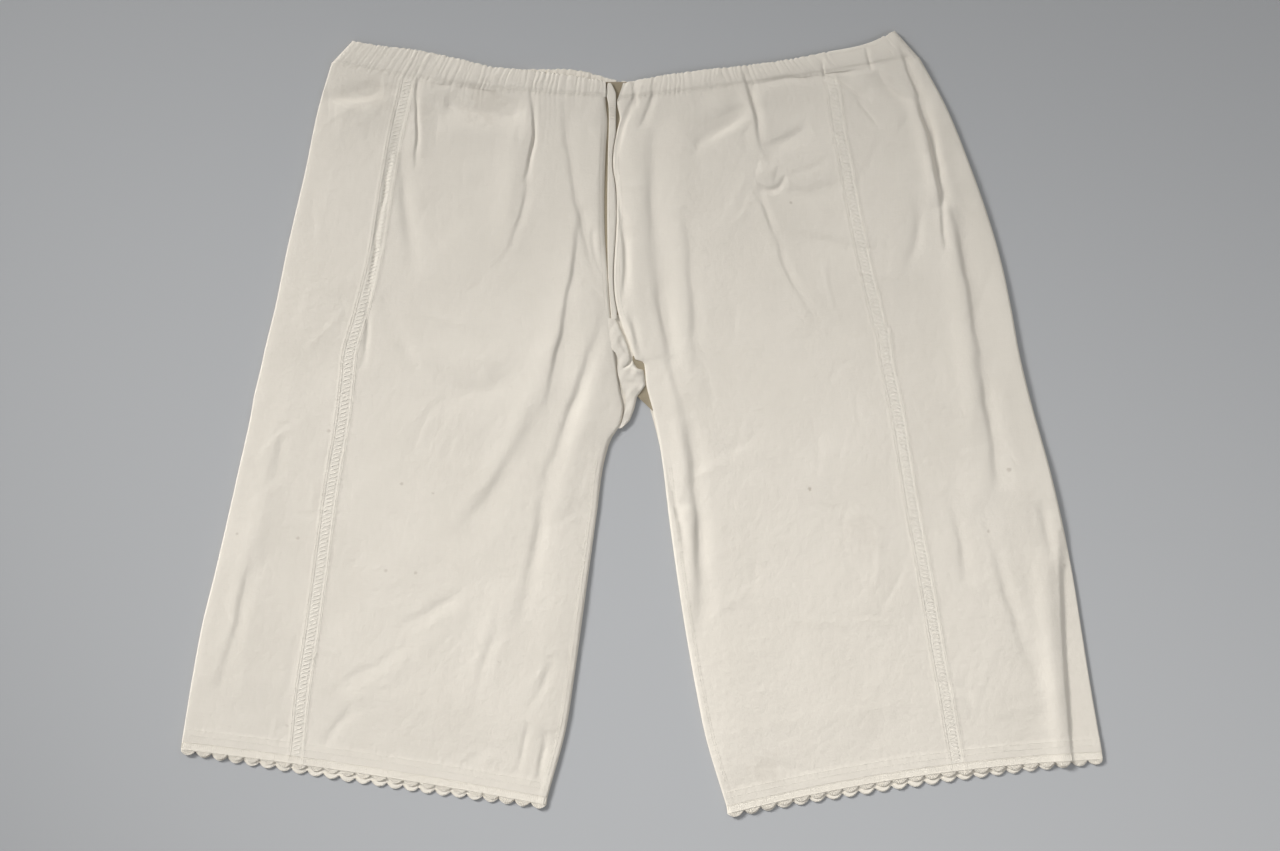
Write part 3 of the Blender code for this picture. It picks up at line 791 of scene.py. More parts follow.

# A round mark for the stains and the patches of painted shade: full at its middle and faded at a distance
# that a noise makes uneven.
stain_and_shade_group, given, taken = node_group(
    "stain_and_shade_mask",
    (
        ("Place", "NodeSocketVector", None),
        ("Noise", "NodeSocketFloat", 0.5),
        ("Middle", "NodeSocketVector", None),
        ("Radius", "NodeSocketFloat", 0.002),
        ("Strength", "NodeSocketFloat", 0.3),
    ),
    (("Mask", "NodeSocketFloat"),),
)
gap = node(stain_and_shade_group, "ShaderNodeVectorMath", {0: given["Place"], 1: given["Middle"]}, operation="DISTANCE")
uneven = maths(stain_and_shade_group, "MULTIPLY", maths(stain_and_shade_group, "SUBTRACT", given["Noise"], 0.5), 2.4)
passed = maths(stain_and_shade_group, "DIVIDE", gap.outputs["Value"], given["Radius"])
passed = maths(stain_and_shade_group, "ADD", passed, uneven)
limits = {"Value": passed, "From Min": 1.0, "From Max": 0.2, "To Max": given["Strength"]}
stain_and_shade_mask = node(stain_and_shade_group, "ShaderNodeMapRange", limits, interpolation_type="SMOOTHSTEP")
stain_and_shade_group.links.new(stain_and_shade_mask.outputs[0], taken["Mask"])


def cotton_material(name, pale, shaded, thread, bump, stains_and_shade_patches=()):
    """Matt washed cotton: two close tones in clouds, slubs, a woven, faintly crumpled face, and specks and
    patches, some of them painted shade.
    """
    sockets = {"Roughness": 0.9, "Specular IOR Level": 0.2, "Sheen Weight": 0.08, "Sheen Roughness": 0.5}
    material = plain_material(name, sockets)
    tree = material.node_tree
    where = node(tree, "ShaderNodeTexCoord").outputs
    weave = placed(tree, weave_group, {"Cut": where["UV"], "Thread": thread})
    clouds = noise(tree, where["Object"], 9.0, 4.0, 0.6)
    tone = weighed(tree, (clouds, 0.9), (weave["Slub"], 0.5))
    spread = node(tree, "ShaderNodeMapRange", {"Value": tone, "From Min": 0.45, "From Max": 0.95}).outputs[0]
    colour = mixed(tree, spread, shaded, pale)
    crumple = noise(tree, where["Object"], 160.0, 3.0, 0.55)
    # Stains, and the patches of painted shade below the casing.
    for x, y, radius, strength in stains_and_shade_patches:
        inputs = {"Place": where["Object"], "Noise": crumple, "Middle": (x * MM, y * MM, SPECK_Z * MM)}
        inputs.update({"Radius": radius * MM, "Strength": strength})
        colour = mixed(tree, placed(tree, stain_and_shade_group, inputs)["Mask"], colour, STAIN_AND_SHADE_BROWN)
    height = weighed(tree, (weave["Height"], 0.00008), (crumple, 0.0007))
    add_colour_and_relief(tree, colour, height, bump)
    return material


COTTON_PALE = (0.815, 0.757, 0.664, 1.0)
COTTON_SHADED = (0.758, 0.702, 0.61, 1.0)
# The cotton's thread in metres, and how strongly its relief shows.
THREAD, COTTON_BUMP = 0.0005, 0.6
cotton = cotton_material("washed cotton", COTTON_PALE, COTTON_SHADED, THREAD, COTTON_BUMP, SPECKS + WASH_AND_SHADE_PATCHES)

LEG_ROWS = 330
SHELL_STRIDE = 4
FRONT_PART, TURNING, BACK_PART = 100, 15, 64


def trimmed_levels(leg, rows):
    """The levels of a panel's rows, with the gap of half a seam left at the casing and the edging."""
    gap = 2 * HALF_GAP / leg_height(leg)
    return np.linspace(gap, 1 - gap, rows)[:, None]


def insertion_edges(leg, level):
    """The two edges of the side insertion across the section."""
    middle = leg_value(leg, "insertion", level)
    half = INSERTION_WIDTH / 2 / section_width(leg, level)
    return middle - half, middle + half


def panel_layout(leg, level, distance):
    """Where each point lies on the cut cloth: its distance from the inner edge, and down from the waist."""
    return together(distance, level * leg_height(leg))


backs = {}
for side, leg in LEGS.items():
    level = trimmed_levels(leg, LEG_ROWS)
    width = section_width(leg, level)
    first = insertion_edges(leg, level)[1] + HALF_GAP / width
    fold_start = 1 - side_turn(leg, level) / width
    on_front = between((first, fold_start), np.linspace(0, 1, FRONT_PART))
    turning = np.linspace(0, 180, TURNING)[1:-1]
    on_back = fold_start * np.linspace(1, 0, BACK_PART)
    across = np.concatenate([on_front, np.ones((LEG_ROWS, len(turning))), on_back], axis=1)
    turn = np.concatenate([np.zeros(FRONT_PART), turning, np.full(BACK_PART, 180.0)])[None, :]
    distance = np.concatenate([on_front * width, width + 0 * turning, 2 * width - on_back * width], axis=1)
    round_fold = np.arange(FRONT_PART - 2, FRONT_PART + TURNING + 1)
    backs[side] = cloth_shell(
        side + "_back_cloth",
        *leg_surface(leg, level, across, turn),
        panel_layout(leg, level, distance),
        stops_within(LEG_ROWS, SHELL_STRIDE),
        stops_within(across.shape[1], SHELL_STRIDE, round_fold),
        cotton,
    )
    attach(backs[side], "root")
    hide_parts(side + "_back")

# Right and left front: plain cotton from centre front and the inside leg to the side
# insertion. The upper edge is gathered into the casing, the inside leg is felled.
FRONT_COLUMNS = 200
ROLLED_COLUMNS, ROLLED_SHARE = 8, 0.014

fronts = {}
for side, leg in LEGS.items():
    level = trimmed_levels(leg, LEG_ROWS)
    last = insertion_edges(leg, level)[0] - HALF_GAP / section_width(leg, level)
    rolled = np.linspace(0, ROLLED_SHARE, ROLLED_COLUMNS)[:-1]
    across = last * np.concatenate([rolled, np.linspace(ROLLED_SHARE, 1, FRONT_COLUMNS - len(rolled))])
    fronts[side] = cloth_shell(
        side + "_front_cloth",
        *leg_surface(leg, level, across, np.zeros((1, FRONT_COLUMNS))),
        panel_layout(leg, level, across * section_width(leg, level)),
        stops_within(LEG_ROWS, SHELL_STRIDE),
        stops_within(FRONT_COLUMNS, SHELL_STRIDE),
        cotton,
    )
    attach(fronts[side], "root")
    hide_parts(side + "_front")

# Right and left side insertion: a narrow handmade braid of cotton thread between front
# and back. Its two edge cords lie on the panels' turned-in edges, and two crossing
# zigzag cords fill it, close enough that only pinholes show between them.
BRAID_THICK = 0.5
BRAID_LAP = 0.9
ZIGZAG_PITCH = 7.2
ZIGZAG_REACH = 4.2
# How thick the zigzags and the edge cords are, how much that wavers, and over which length.
ZIGZAG_THICK, CORD_THICK = (0.5, 0.07, 0.45), (0.32, 0.06, 0.8)
CROSSING_RISE = 0.08


def tubes(paths, radius, sides, ups, flat=1.0):
    """Many equal tubes: a ring of points round each point of each path, and closed ends."""
    count, stations = paths.shape[:2]
    radius = np.broadcast_to(radius, (count, stations))
    tangent = np.gradient(paths, axis=1)
    tangent = tangent / np.linalg.norm(tangent, axis=-1, keepdims=True)
    across = np.cross(tangent, ups)
    across = across / np.linalg.norm(across, axis=-1, keepdims=True)
    above = np.cross(across, tangent)
    angle = 2 * np.pi * np.arange(sides) / sides
    ring = across[:, :, None] * np.cos(angle)[:, None] + above[:, :, None] * (flat * np.sin(angle))[:, None]
    points = paths[:, :, None] + ring * radius[:, :, None, None]
    length = np.cumsum(np.linalg.norm(np.diff(paths, axis=1, prepend=paths[:, :1]), axis=-1), axis=1)
    round_it = np.broadcast_to(angle * radius.mean(), (count, stations, sides))
    layout = np.stack([round_it, np.broadcast_to(length[:, :, None], round_it.shape)], axis=-1)
    index = np.arange(count * stations * sides).reshape(count, stations, sides)
    after = np.roll(index, -1, axis=2)
    quads = np.stack([index[:, :-1], index[:, 1:], after[:, 1:], after[:, :-1]], axis=-1).reshape(-1, 4)
    caps = np.concatenate([index[:, 0], index[:, -1, ::-1]])
    return points.reshape(-1, 3), [quads, caps], layout.reshape(-1, 2)


def joined(parts):
    """Several sets of points, faces and layout as one."""
    points, faces, layout, first = [], [], [], 0
    for part_points, part_faces, part_layout in parts:
        points.append(part_points)
        layout.append(part_layout)
        faces.extend(group + first for group in part_faces)
        first += len(part_points)
    return np.concatenate(points), faces, np.concatenate(layout)


def solid_strip(outer, outward, thickness, layout):
    """A closed strip of even thickness under a grid of points, with as many points inside as outside."""
    rows, columns = outer.shape[:2]
    points = np.concatenate([outer.reshape(-1, 3), (outer - outward * thickness).reshape(-1, 3)])
    out = np.arange(rows * columns).reshape(rows, columns)
    back = out + rows * columns
    flip = turned_over(outer, outward)
    edges = (
        (out[0], back[0], not flip),
        (out[-1], back[-1], flip),
        (out[:, 0], back[:, 0], flip),
        (out[:, -1], back[:, -1], not flip),
    )
    rims = []
    for upper, lower, turned in edges:
        rim = np.stack([upper[:-1], upper[1:], lower[1:], lower[:-1]], axis=-1)
        rims.append(rim[:, ::-1] if turned else rim)
    faces = [np.concatenate([grid_quads(out, flip), grid_quads(back, not flip), *rims])]
    return points, faces, np.concatenate([layout.reshape(-1, 2)] * 2)


UP = np.array([0.0, 0.0, 1.0])

# The twist of sewing and lace thread: plies that wind round it.
twist_group, given, taken = node_group(
    "thread twist",
    (("Cut", "NodeSocketVector", None), ("Ply", "NodeSocketFloat", 0.0012)),
    (("Height", "NodeSocketFloat"),),
)
place = node(twist_group, "ShaderNodeSeparateXYZ", {0: given["Cut"]}).outputs
wound = maths(twist_group, "ADD", maths(twist_group, "MULTIPLY", place[0], 1.2), place[1])
ply = thread_wave(twist_group, wound, 2 * math.pi, given["Ply"])
twist_group.links.new(maths(twist_group, "ABSOLUTE", ply), taken["Height"])


def thread_material(name, pale, shaded, ply, bump):
    """Soft cotton thread: two close tones in small clouds and wound plies."""
    material = plain_material(name, {"Roughness": 0.85, "Specular IOR Level": 0.25, "Sheen Weight": 0.1})
    tree = material.node_tree
    where = node(tree, "ShaderNodeTexCoord").outputs
    twist = placed(tree, twist_group, {"Cut": where["UV"], "Ply": ply})
    clouds = noise(tree, where["Object"], 220.0, 3.0)
    colour = mixed(tree, clouds, shaded, pale)
    height = weighed(tree, (twist["Height"], 0.0001), (clouds, 0.0002))
    add_colour_and_relief(tree, colour, height, bump)
    return material


BRAID_PALE = (0.87, 0.815, 0.72, 1.0)
BRAID_SHADED = (0.765, 0.71, 0.615, 1.0)
braid_thread = thread_material("braid thread", BRAID_PALE, BRAID_SHADED, 0.0012, 0.5)


def uneven_thread(thickness, run):
    """A thread's thickness along its run: a sine wave about its middle value."""
    middle, waver, length = thickness
    return middle + waver * np.sin(run / length)


insertions = {}
for side, leg in LEGS.items():
    level = trimmed_levels(leg, LEG_ROWS)
    width = section_width(leg, level)
    near, far = insertion_edges(leg, level)
    share = np.linspace(0, 1, 13)
    across = near - BRAID_LAP / width + (far - near + 2 * BRAID_LAP / width) * share
    outer, outward = leg_surface(leg, level, across, np.zeros((1, len(share))))
    outer = outer + 0.05 * UP
    braid = solid_strip(outer, outward, BRAID_THICK, panel_layout(leg, level, across * width))
    run = np.arange(2, leg_height(leg) - 2, ZIGZAG_PITCH / 10)
    turn = 2 * np.pi * run / ZIGZAG_PITCH
    level = run / leg_height(leg)
    width = section_width(leg, level)
    middle = leg_value(leg, "insertion", level)
    swing = 2 / math.pi * np.arcsin(0.97 * np.sin(turn)) * ZIGZAG_REACH
    edge = INSERTION_WIDTH / 2 + 0.3
    aside = np.stack([swing, -swing, np.full(len(run), -edge), np.full(len(run), edge)])
    paths, _ = leg_surface(leg, level[None, :], middle + aside / width, np.zeros((1, 1)))
    over = CROSSING_RISE * np.cos(turn)
    lift = np.stack([over, -over]) - CROSSING_RISE / 2
    zigzags = tubes(paths[:2] + lift[..., None] * UP, uneven_thread(ZIGZAG_THICK, run), 6, UP, 0.6)
    cords = tubes(paths[2:, ::2], uneven_thread(CORD_THICK, run[::2]), 5, UP, 0.5)
    insertions[side] = add_mesh(side + "_side_braid", *joined([braid, zigzags, cords]), braid_thread)
    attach(insertions[side], "root")
    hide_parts(side + "_side_insertion")

# Right and left half of the waist casing: a folded band of the same cotton, drawn up
# into gathers over the front, round the side and over the back, and stitched down on
# the panels. On the wearer's left a short run near the side isn't gathered.
CASING_DEEP = (16.0, 24.0)
CASING_THICK = 1.6
CASING_OVER_FRONT = 0.08
CASING_LAP = 1.2
CASING_SWELL = 0.3
CASING_PUFF = 0.8
CASING_GATHER = 0.3
CASING_SEAM_UP = 2.6
CASING_GROOVE = 0.25
CASING_GROOVE_WIDE = 0.7071
EDGE_BUMP = 1.5
# How far down the rows close to the seam lie, and which rows, from the upper edge down, the inner
# face repeats.
SEAM_ROWS = (1.0, 0.985, 0.95, 0.91, 0.87, 0.83)
INNER_ROWS = [0, 4, 8, -1]
# Where the rows of the rolled head and of the inner face lie on the cut, past the waist edge.
HEAD_GIRTH = (-0.5, -1.2, -2.0)
INNER_GIRTH = (-2.0, -8.0, -16.0, -26.0)
CASING_LONG = 300
GATHER_SAMPLES = 8
BACK_GATHER_SAMPLES = 5
CASING_TURNING = 11


def casing_run():
    """The stations of a casing: across the front, round the side fold and back over the back layer."""
    front = np.linspace(0, 1, GATHERS * GATHER_SAMPLES)
    turning = np.linspace(0, 180, CASING_TURNING)[1:-1]
    back = np.linspace(1, 0, GATHERS * BACK_GATHER_SAMPLES)
    across = np.concatenate([front, np.ones(len(turning)), back])
    turn = np.concatenate([np.zeros(len(front)), turning, np.full(len(back), 180.0)])
    return across, turn


def casing_surface(leg, across, turn, down):
    """The casing's outer face: a soft tube that swells between its edges, with gathers and a sewn groove.

    down is 0 at the upper edge and 1 at the lower one, which laps over the panels.
    """
    width = abs(leg["tip_x"] - leg["front_end_x"])
    angle = np.radians(turn)
    on_fold = (turn > 0) & (turn < 180)
    safe = np.clip(across, EDGE_ROLL / width, 1 - FOLD_TURN / width)
    seam_x, seam_y = plan(leg, 0.0, safe, "front")
    reach_x = between((leg["front_end_x"], leg["tip_x"]), safe)
    reach_y = curve(leg["casing"], CASING_COLUMNS, "front_y", safe)
    on_x, on_y = between((reach_x, seam_x), down), between((reach_y, seam_y), down)
    under = front_top(leg, 0.0, safe, on_x, on_y)
    astray = across + 2.2 / width * mottle(on_x, on_y, leg["seed"] + 61, 10)
    on_front = np.where(turn == 0, gather_wave(leg, astray), PLAIN_HEIGHT)
    wave = np.where(turn == 180, gather_wave(leg, 1 - astray), on_front)
    swell = CASING_SWELL + CASING_PUFF * np.sin(np.pi * np.clip(down, 0, 1)) ** 0.8
    swell = swell * np.sin(np.pi / 2 * np.clip((1 - down) / 0.3, 0, 1))
    gathers = CASING_GATHER * (1 - 0.65 * across) * (wave - PLAIN_HEIGHT)
    gathers = gathers * (1 + 0.9 * mottle(on_x, on_y, leg["seed"] + 60, 8))
    up = (1 - down) * between(CASING_DEEP, np.clip(across, 0, 1))
    groove = CASING_GROOVE * bell(up - CASING_SEAM_UP, CASING_GROOVE_WIDE)
    top = under + CASING_OVER_FRONT + swell + gathers - groove
    radius = top / 2
    flat_across = np.minimum(across, 1 - radius / width)
    across = np.where(on_fold, 1 - radius * (1 - np.sin(angle)) / width, flat_across)
    share = (1 - np.cos(angle)) / 2
    end_x = between((leg["front_end_x"], leg["back_end_x"]), share)
    head_x = between((end_x, leg["tip_x"]), across)
    edge_y = [curve(leg["casing"], CASING_COLUMNS, name, across) for name in ("front_y", "back_y")]
    head_y = between(edge_y, share) - CASING_THICK / 2 + EDGE_BUMP * (wave - 0.5)
    foot_x, foot_y = plan(leg, 0.0, across, "front")
    behind_x, behind_y = plan(leg, 0.0, across, "back")
    foot_x = between((foot_x, behind_x), share)
    foot_y = between((foot_y, behind_y), share) - CASING_LAP * (1 - share)
    x, y = between((head_x, foot_x), down), between((head_y, foot_y), down)
    z = top * (1 + np.cos(angle)) / 2
    toward = np.sign(leg["tip_x"])
    outward = together(toward * np.sin(angle), 0 * x, np.cos(angle) + 0 * x)
    return together(x, y, z), outward, wave + 0 * x


casings = {}
for side, leg in LEGS.items():
    across, turn = casing_run()
    down = np.concatenate([SEAM_ROWS, np.linspace(0.76, 0.04, 10), [0.0]])
    outer, outward, wave = casing_surface(leg, across[None, :], turn[None, :], down[:, None])
    thick = np.where(turn == 180, 1.0 + 0.7 * wave[0], CASING_THICK)[None, :, None]
    roll = np.radians([45, 90, 135])[:, None, None]
    head = outer[-1:] - outward[-1:] * thick * (1 - np.cos(roll)) / 2
    head = head + np.array([0.0, CASING_THICK / 2, 0.0]) * np.sin(roll)
    inside = (outer - outward * thick)[::-1][INNER_ROWS]
    loop = np.concatenate([outer, head, inside])
    rows, columns = loop.shape[:2]
    index = np.arange(rows * columns).reshape(rows, columns)
    wrapped = np.concatenate([index, index[:1]])
    flip = side == "right"
    caps = np.stack([index[:, 0], index[::-1, -1]])
    caps = caps[:, ::-1] if flip else caps
    girth = np.concatenate([down * CASING_DEEP[1], HEAD_GIRTH, INNER_GIRTH])
    layout = together(across[None, :] * CASING_LONG + turn[None, :], girth[:, None]).reshape(-1, 2)
    faces = [grid_quads(wrapped, flip), caps]
    casings[side] = add_mesh(side + "_waist_band", loop.reshape(-1, 3), faces, layout, cotton, 70)
    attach(casings[side], "root")
    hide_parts(side + "_waist_casing")

# Right and left hem edging: dense scallops of needle lace, worked on two cords along
# the hem, round the whole leg opening. Each scallop is a small fan of close stitches
# with a beaded rim.
SCALLOPS = 46
SCALLOP_DEPTH = 5.0
EDGING_BAND = 6.8
EDGING_DROP = 0.55
# The two cords along the band: how low and how thick. The bars between them: three points each.
EDGING_CORDS = ((0.4, 0.42), (EDGING_BAND - 0.6, 0.36))
BAR_PITCH = 1.9
BAR_ALONG, BAR_LOW, BAR_ASIDE = (0.0, 0.2, 0.4), (0.3, 1.7, EDGING_BAND - 0.4), (0.12, 0.24, 0.12)
BAR_THICK = 0.32
# The two fans of stitches in a scallop: where each begins and ends, as shares, and its stitches.
FANS = ((0.12, 0.62, 7), (0.52, 0.97, 12))
FAN_THICK = 0.36
RIM_BEADS = 27
BEAD_THICK, BEAD_WAVER = 0.34, 0.1
# How far each part lies on the cloth's outer side, and how much the scallops fall on their way down.
CORD_ASIDE, FAN_ASIDE, WEB_ASIDE, RIM_ASIDE = 0.2, 0.28, 0.18, 0.15
SCALLOP_FALL = 0.05
LACE_PALE = (0.90, 0.84, 0.735, 1.0)
LACE_SHADED = (0.80, 0.74, 0.635, 1.0)
lace_thread = thread_material("lace thread", LACE_PALE, LACE_SHADED, 0.0012, 0.4)


def hem_sizes(leg):
    """The flat leg opening's width, the side fold's radius there, and the length of the seam round it."""
    width, radius = float(section_width(leg, 1.0)), float(side_turn(leg, 1.0))
    return width, radius, 2 * (width - radius) + math.pi * radius


def hem_place(leg, run, low, aside):
    """A point of the edging: along the hem, low millimetres below it and aside towards the outer face."""
    width, radius, length = hem_sizes(leg)
    straight = width - radius
    turned = np.clip((run - straight) / (math.pi * radius), 0, 1)
    across = np.where(run <= straight, run / width, np.where(turned < 1, 1.0, (length - run) / width))
    seam, outward = leg_surface(leg, 1.0, across, 180 * turned)
    inner_x, inner_y = inner_edge(leg, 1.0, "front")
    out_x = (leg_value(leg, "side_x", 1.0) - inner_x) / width
    out_y = (leg["side_y"][1] - inner_y) / width
    below = np.sign(out_x) * np.array([out_y, -out_x, 0.0])
    return seam + below * low[..., None] + outward * (aside - EDGING_DROP)[..., None], outward


edgings = {}
for side, leg in LEGS.items():
    length = hem_sizes(leg)[2]
    pitch = length / SCALLOPS
    centre = (np.arange(SCALLOPS) + 0.5)[:, None, None] * pitch
    draw = np.random.default_rng(leg["seed"])
    tilt = draw.uniform(-0.35, 0.35, (SCALLOPS, 1, 1))
    deep = SCALLOP_DEPTH * draw.uniform(0.92, 1.0, (SCALLOPS, 1, 1))

    def scallop(theta, reach):
        """A point of each scallop, along and down: a tongue as deep as 1 less a squared sine, times reach."""
        wide, low = 0.5 * pitch * np.sin(theta), 1 - np.sin(theta) ** 2
        return wide * reach + tilt * low * reach, EDGING_BAND - 0.5 + (deep - 0.3) * low * reach

    def threads(run, low, aside, thick, sides, flat):
        """Threads over the band, a row of points for each."""
        run, low, aside = np.broadcast_arrays(run, low, aside)
        paths, outward = hem_place(leg, run, low, aside)
        row = (-1, run.shape[-1], 3)
        return tubes(paths.reshape(row), thick, sides, outward.reshape(row), flat)

    band_run = np.linspace(0, length, 330)[:, None]
    band_low = np.array([-0.6, 1.2, 2.4, EDGING_BAND])[None, :]
    band = hem_place(leg, band_run, band_low + 0 * band_run, 0.25 + 0 * band_low)
    parts = [solid_strip(*band, 0.5, together(band_run, band_low))]
    run = np.linspace(0.3, length - 0.3, 480)[None, :]
    parts.extend(threads(run, low, CORD_ASIDE, thick, 5, 0.6) for low, thick in EDGING_CORDS)
    bars = np.arange(1.0, length - 1, BAR_PITCH)[:, None] + np.array(BAR_ALONG)
    parts.append(threads(bars, BAR_LOW, BAR_ASIDE, BAR_THICK, 4, 0.6))
    for inner_reach, outer_reach, stitch_count in FANS:
        theta = np.linspace(-0.46 * np.pi, 0.46 * np.pi, stitch_count)[:, None]
        along, low = scallop(theta, np.linspace(inner_reach, outer_reach, 4))
        parts.append(threads(centre + along, low, FAN_ASIDE - SCALLOP_FALL * low, FAN_THICK, 4, 0.5))
    theta = np.linspace(-0.5 * np.pi, 0.5 * np.pi, 13)
    along, low = scallop(theta, np.linspace(0.0, 0.9, 5)[:, None])
    web, outward = hem_place(leg, centre + along, low, WEB_ASIDE - SCALLOP_FALL * low)
    layout = together(along, low)
    for k in range(SCALLOPS):
        parts.append(solid_strip(web[k], outward[k], 0.4, layout[k]))
    theta = np.linspace(-0.5 * np.pi, 0.5 * np.pi, RIM_BEADS)
    along, low = scallop(theta, 1.0)
    beads = BEAD_THICK + BEAD_WAVER * np.cos(np.pi * np.arange(RIM_BEADS))
    parts.append(threads(centre + along, low, RIM_ASIDE - SCALLOP_FALL * low, beads, 5, 0.5))
    edgings[side] = add_mesh(side + "_scallop_edging", *joined(parts), lace_thread)
    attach(edgings[side], "root")
    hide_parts(side + "_hem_edging")

# The front facing: a narrow double strip of cotton between the two fronts, stitched
# along both sides. It ends in a point at the waist, where the opening is a small V, and
# bar tacks hold it below the casing.
FACING_COLUMNS = ("y", "near_x", "far_x")
FACING = (
    (307.5, -30.6, -28.0),
    (303.0, -31.8, -25.6),
    (298.5, -32.2, -23.8),
    (294.0, -31.5, -23.4),
    (290.0, -30.6, -23.4),
    (278.0, -29.8, -23.6),
    (262.0, -30.0, -23.8),
    (247.0, -30.6, -26.0),
    (230.0, -30.8, -26.2),
    (215.0, -31.1, -24.2),
    (190.0, -31.3, -23.4),
    (130.0, -30.4, -22.9),
    (95.5, -29.0, -22.6),
)
FACING_TOP_Y, FACING_FOOT_Y = FACING[0][0], FACING[-1][0]
FACING_BESIDE = 0.4
FACING_WIDE = 8
FACING_THICK = 0.9
FACING_BASE = 2.3


def level_at(leg, y):
    """The level of the inner edge at a height of the garment."""
    return (leg["inner_y"][0] - y) / (leg["inner_y"][0] - leg["inner_y"][1])


def front_edge_at(leg, y):
    """The x of a front's inner edge at a height of the garment."""
    return inner_edge(leg, np.clip(level_at(leg, y), 0, 1), "front")[0]


def facing_point(y, share):
    """A point of the facing's face: across the strip from the right front (0) to the left front (1)."""
    near, far = (curve(FACING, FACING_COLUMNS, name, y) for name in ("near_x", "far_x"))
    near = np.maximum(near, front_edge_at(LEGS["right"], y) + FACING_BESIDE)
    far = np.minimum(far, front_edge_at(LEGS["left"], y) - FACING_BESIDE)
    below = np.maximum(LEGS["right"]["inner_y"][0] - y, 0)
    crown = 0.45 * np.clip(4 * share * (1 - share), 0, 1) ** 0.5 + 0.12 * np.sin(y / 1.1) * (share - 0.5)
    z = FACING_BASE + CASING_LIFT * bell(below, CASING_LIFT_REACH) + crown
    return together(between((near, far), share), y, z)


y = np.linspace(FACING_TOP_Y, FACING_FOOT_Y, 120)[:, None]
share = np.linspace(0, 1, 11)[None, :]
outer = facing_point(y, share)
strip = solid_strip(outer, 0 * outer + UP, FACING_THICK, together(share * FACING_WIDE, y))
facing = add_mesh("front_facing_strip", *strip, cotton)
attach(facing, "root")
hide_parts("front_facing")

# The felled allowance of the centre back seam, inside the garment. It lies on
# the inner face of the backs and shows in the gaps beside the facing. Its dark brown is painted shade, the
# shade deep in those gaps.
FELL_TOP_Y = 308.5
FELL_FOOT_Y = 99.0
FELL_Z = 1.25
FELL_THICK = 0.4
FELL_NEAR_X = -36.5
FELL_WIDE = (24.0, 20.0)
FELL_NARROWS = (280, 220)
FELL_RISE, FELL_RISE_Y = 0.9, 288
# Painted shade: these dark browns, on the fell and the gusset's tip, stand for the shade deep in the gaps.
FELL_PAINTED_SHADE_PALE = (0.41, 0.35, 0.25, 1.0)
FELL_PAINTED_SHADE_DEEP = (0.31, 0.26, 0.18, 1.0)
painted_shade_cotton = cotton_material("cotton in painted shade", FELL_PAINTED_SHADE_PALE, FELL_PAINTED_SHADE_DEEP, THREAD, COTTON_BUMP)
y = np.linspace(FELL_TOP_Y, FELL_FOOT_Y, 90)[:, None]
share = np.linspace(0, 1, 11)[None, :]
narrowed = np.clip((FELL_NARROWS[0] - y) / (FELL_NARROWS[0] - FELL_NARROWS[1]), 0, 1)
x = FELL_NEAR_X + between(FELL_WIDE, narrowed) * share
z = FELL_Z + FELL_RISE / (1 + np.exp((FELL_RISE_Y - y) / 2.5)) + 0.08 * ripples(x, y, 11, 5, 8, 24)
outer = together(x, y, z)
strip = solid_strip(outer, 0 * outer + UP, FELL_THICK, outer[..., :2])
fell = add_mesh("centre_back_seam_fell_in_painted_shade", *strip, painted_shade_cotton)
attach(fell, "root")

# The crotch gusset: a small piece of cotton set in below the opening. It is crumpled
# into two soft lobes with a sharp fold between them, and its tip turns under the inside
# leg of the left front.
GUSSET_COLUMNS = ("y", "x")
GUSSET_EDGE = (
    (96, -23.5),
    (80, -16),
    (69, -12),
    (62, -10.5),
    (58, -8.5),
    (54, -6.5),
    (50.8, -4),
    (49.6, 1.0),
    (37, 4),
    (30, -1),
    (25, -4.5),
    (14, -7),
    (4, -11),
    (-3, -18),
)
GUSSET_BASE = 1.9
GUSSET_RISE = 1.0
GUSSET_DOWN, GUSSET_ACROSS = 110, 34
# The slit beside the right front: its least width, and where it widens, how far and by how much.
GUSSET_SLIT = 0.3
GUSSET_GAPS = ((26, 12, 3.4), (59, 6, 2.0))
GUSSET_OVERLAP = 3.4
GUSSET_JOIN_Y = 67
GUSSET_LOW = 1.35
# Its folds, in the columns of the creases.
GUSSET_FOLDS = (
    (-17, 51, -9, 64, -3, -1.7, 1.2, 0.9),
    (-12, 63, -20, 80, 1, -0.8, 2.5, 2.5),
    (-14, 40, 0, 34, 1, -0.8, 2.5, 3.5),
    (-8, 52, 0, 46, -1, 0.7, 2.5, 2.5),
)
top_y, foot_y = GUSSET_EDGE[0][0], GUSSET_EDGE[-1][0]
y = np.linspace(top_y, foot_y, GUSSET_DOWN)[:, None]
share = np.linspace(0, 1, GUSSET_ACROSS)[None, :]
joined_on = 1 / (1 + np.exp((GUSSET_JOIN_Y - y) / 1.5))
slit = GUSSET_SLIT - GUSSET_OVERLAP * joined_on
for gap_y, reach, wide in GUSSET_GAPS:
    slit = slit + wide * bell(y - gap_y, reach)
leg = LEGS["right"]
near = front_edge_at(leg, y) + slit
edge = np.interp(-y, -column(GUSSET_EDGE, GUSSET_COLUMNS, "y"), column(GUSSET_EDGE, GUSSET_COLUMNS, "x"))
far = np.maximum(np.minimum(edge, front_edge_at(LEGS["left"], y) - 0.8), near + 0.8)
x = between((near, far), share)
passed = (top_y - y) / (top_y - foot_y)
rounded = np.sqrt(np.clip(1 - np.clip(2 * share - 1, 0, 1) ** 4, 0.02, 1))
z = GUSSET_BASE + (1.5 + GUSSET_RISE * np.sin(np.pi * np.clip(passed, 0, 1)) ** 0.7) * rounded - 1.0
level = level_at(leg, y)
across = np.clip((front_edge_at(leg, y) - x) / section_width(leg, level), EDGE_ROLL / 250, 1)
merge = joined_on * np.clip(1.6 - 2.6 * share, 0, 1)
z = z + (front_top(leg, level, across, x, y) + 0.1 - z) * merge
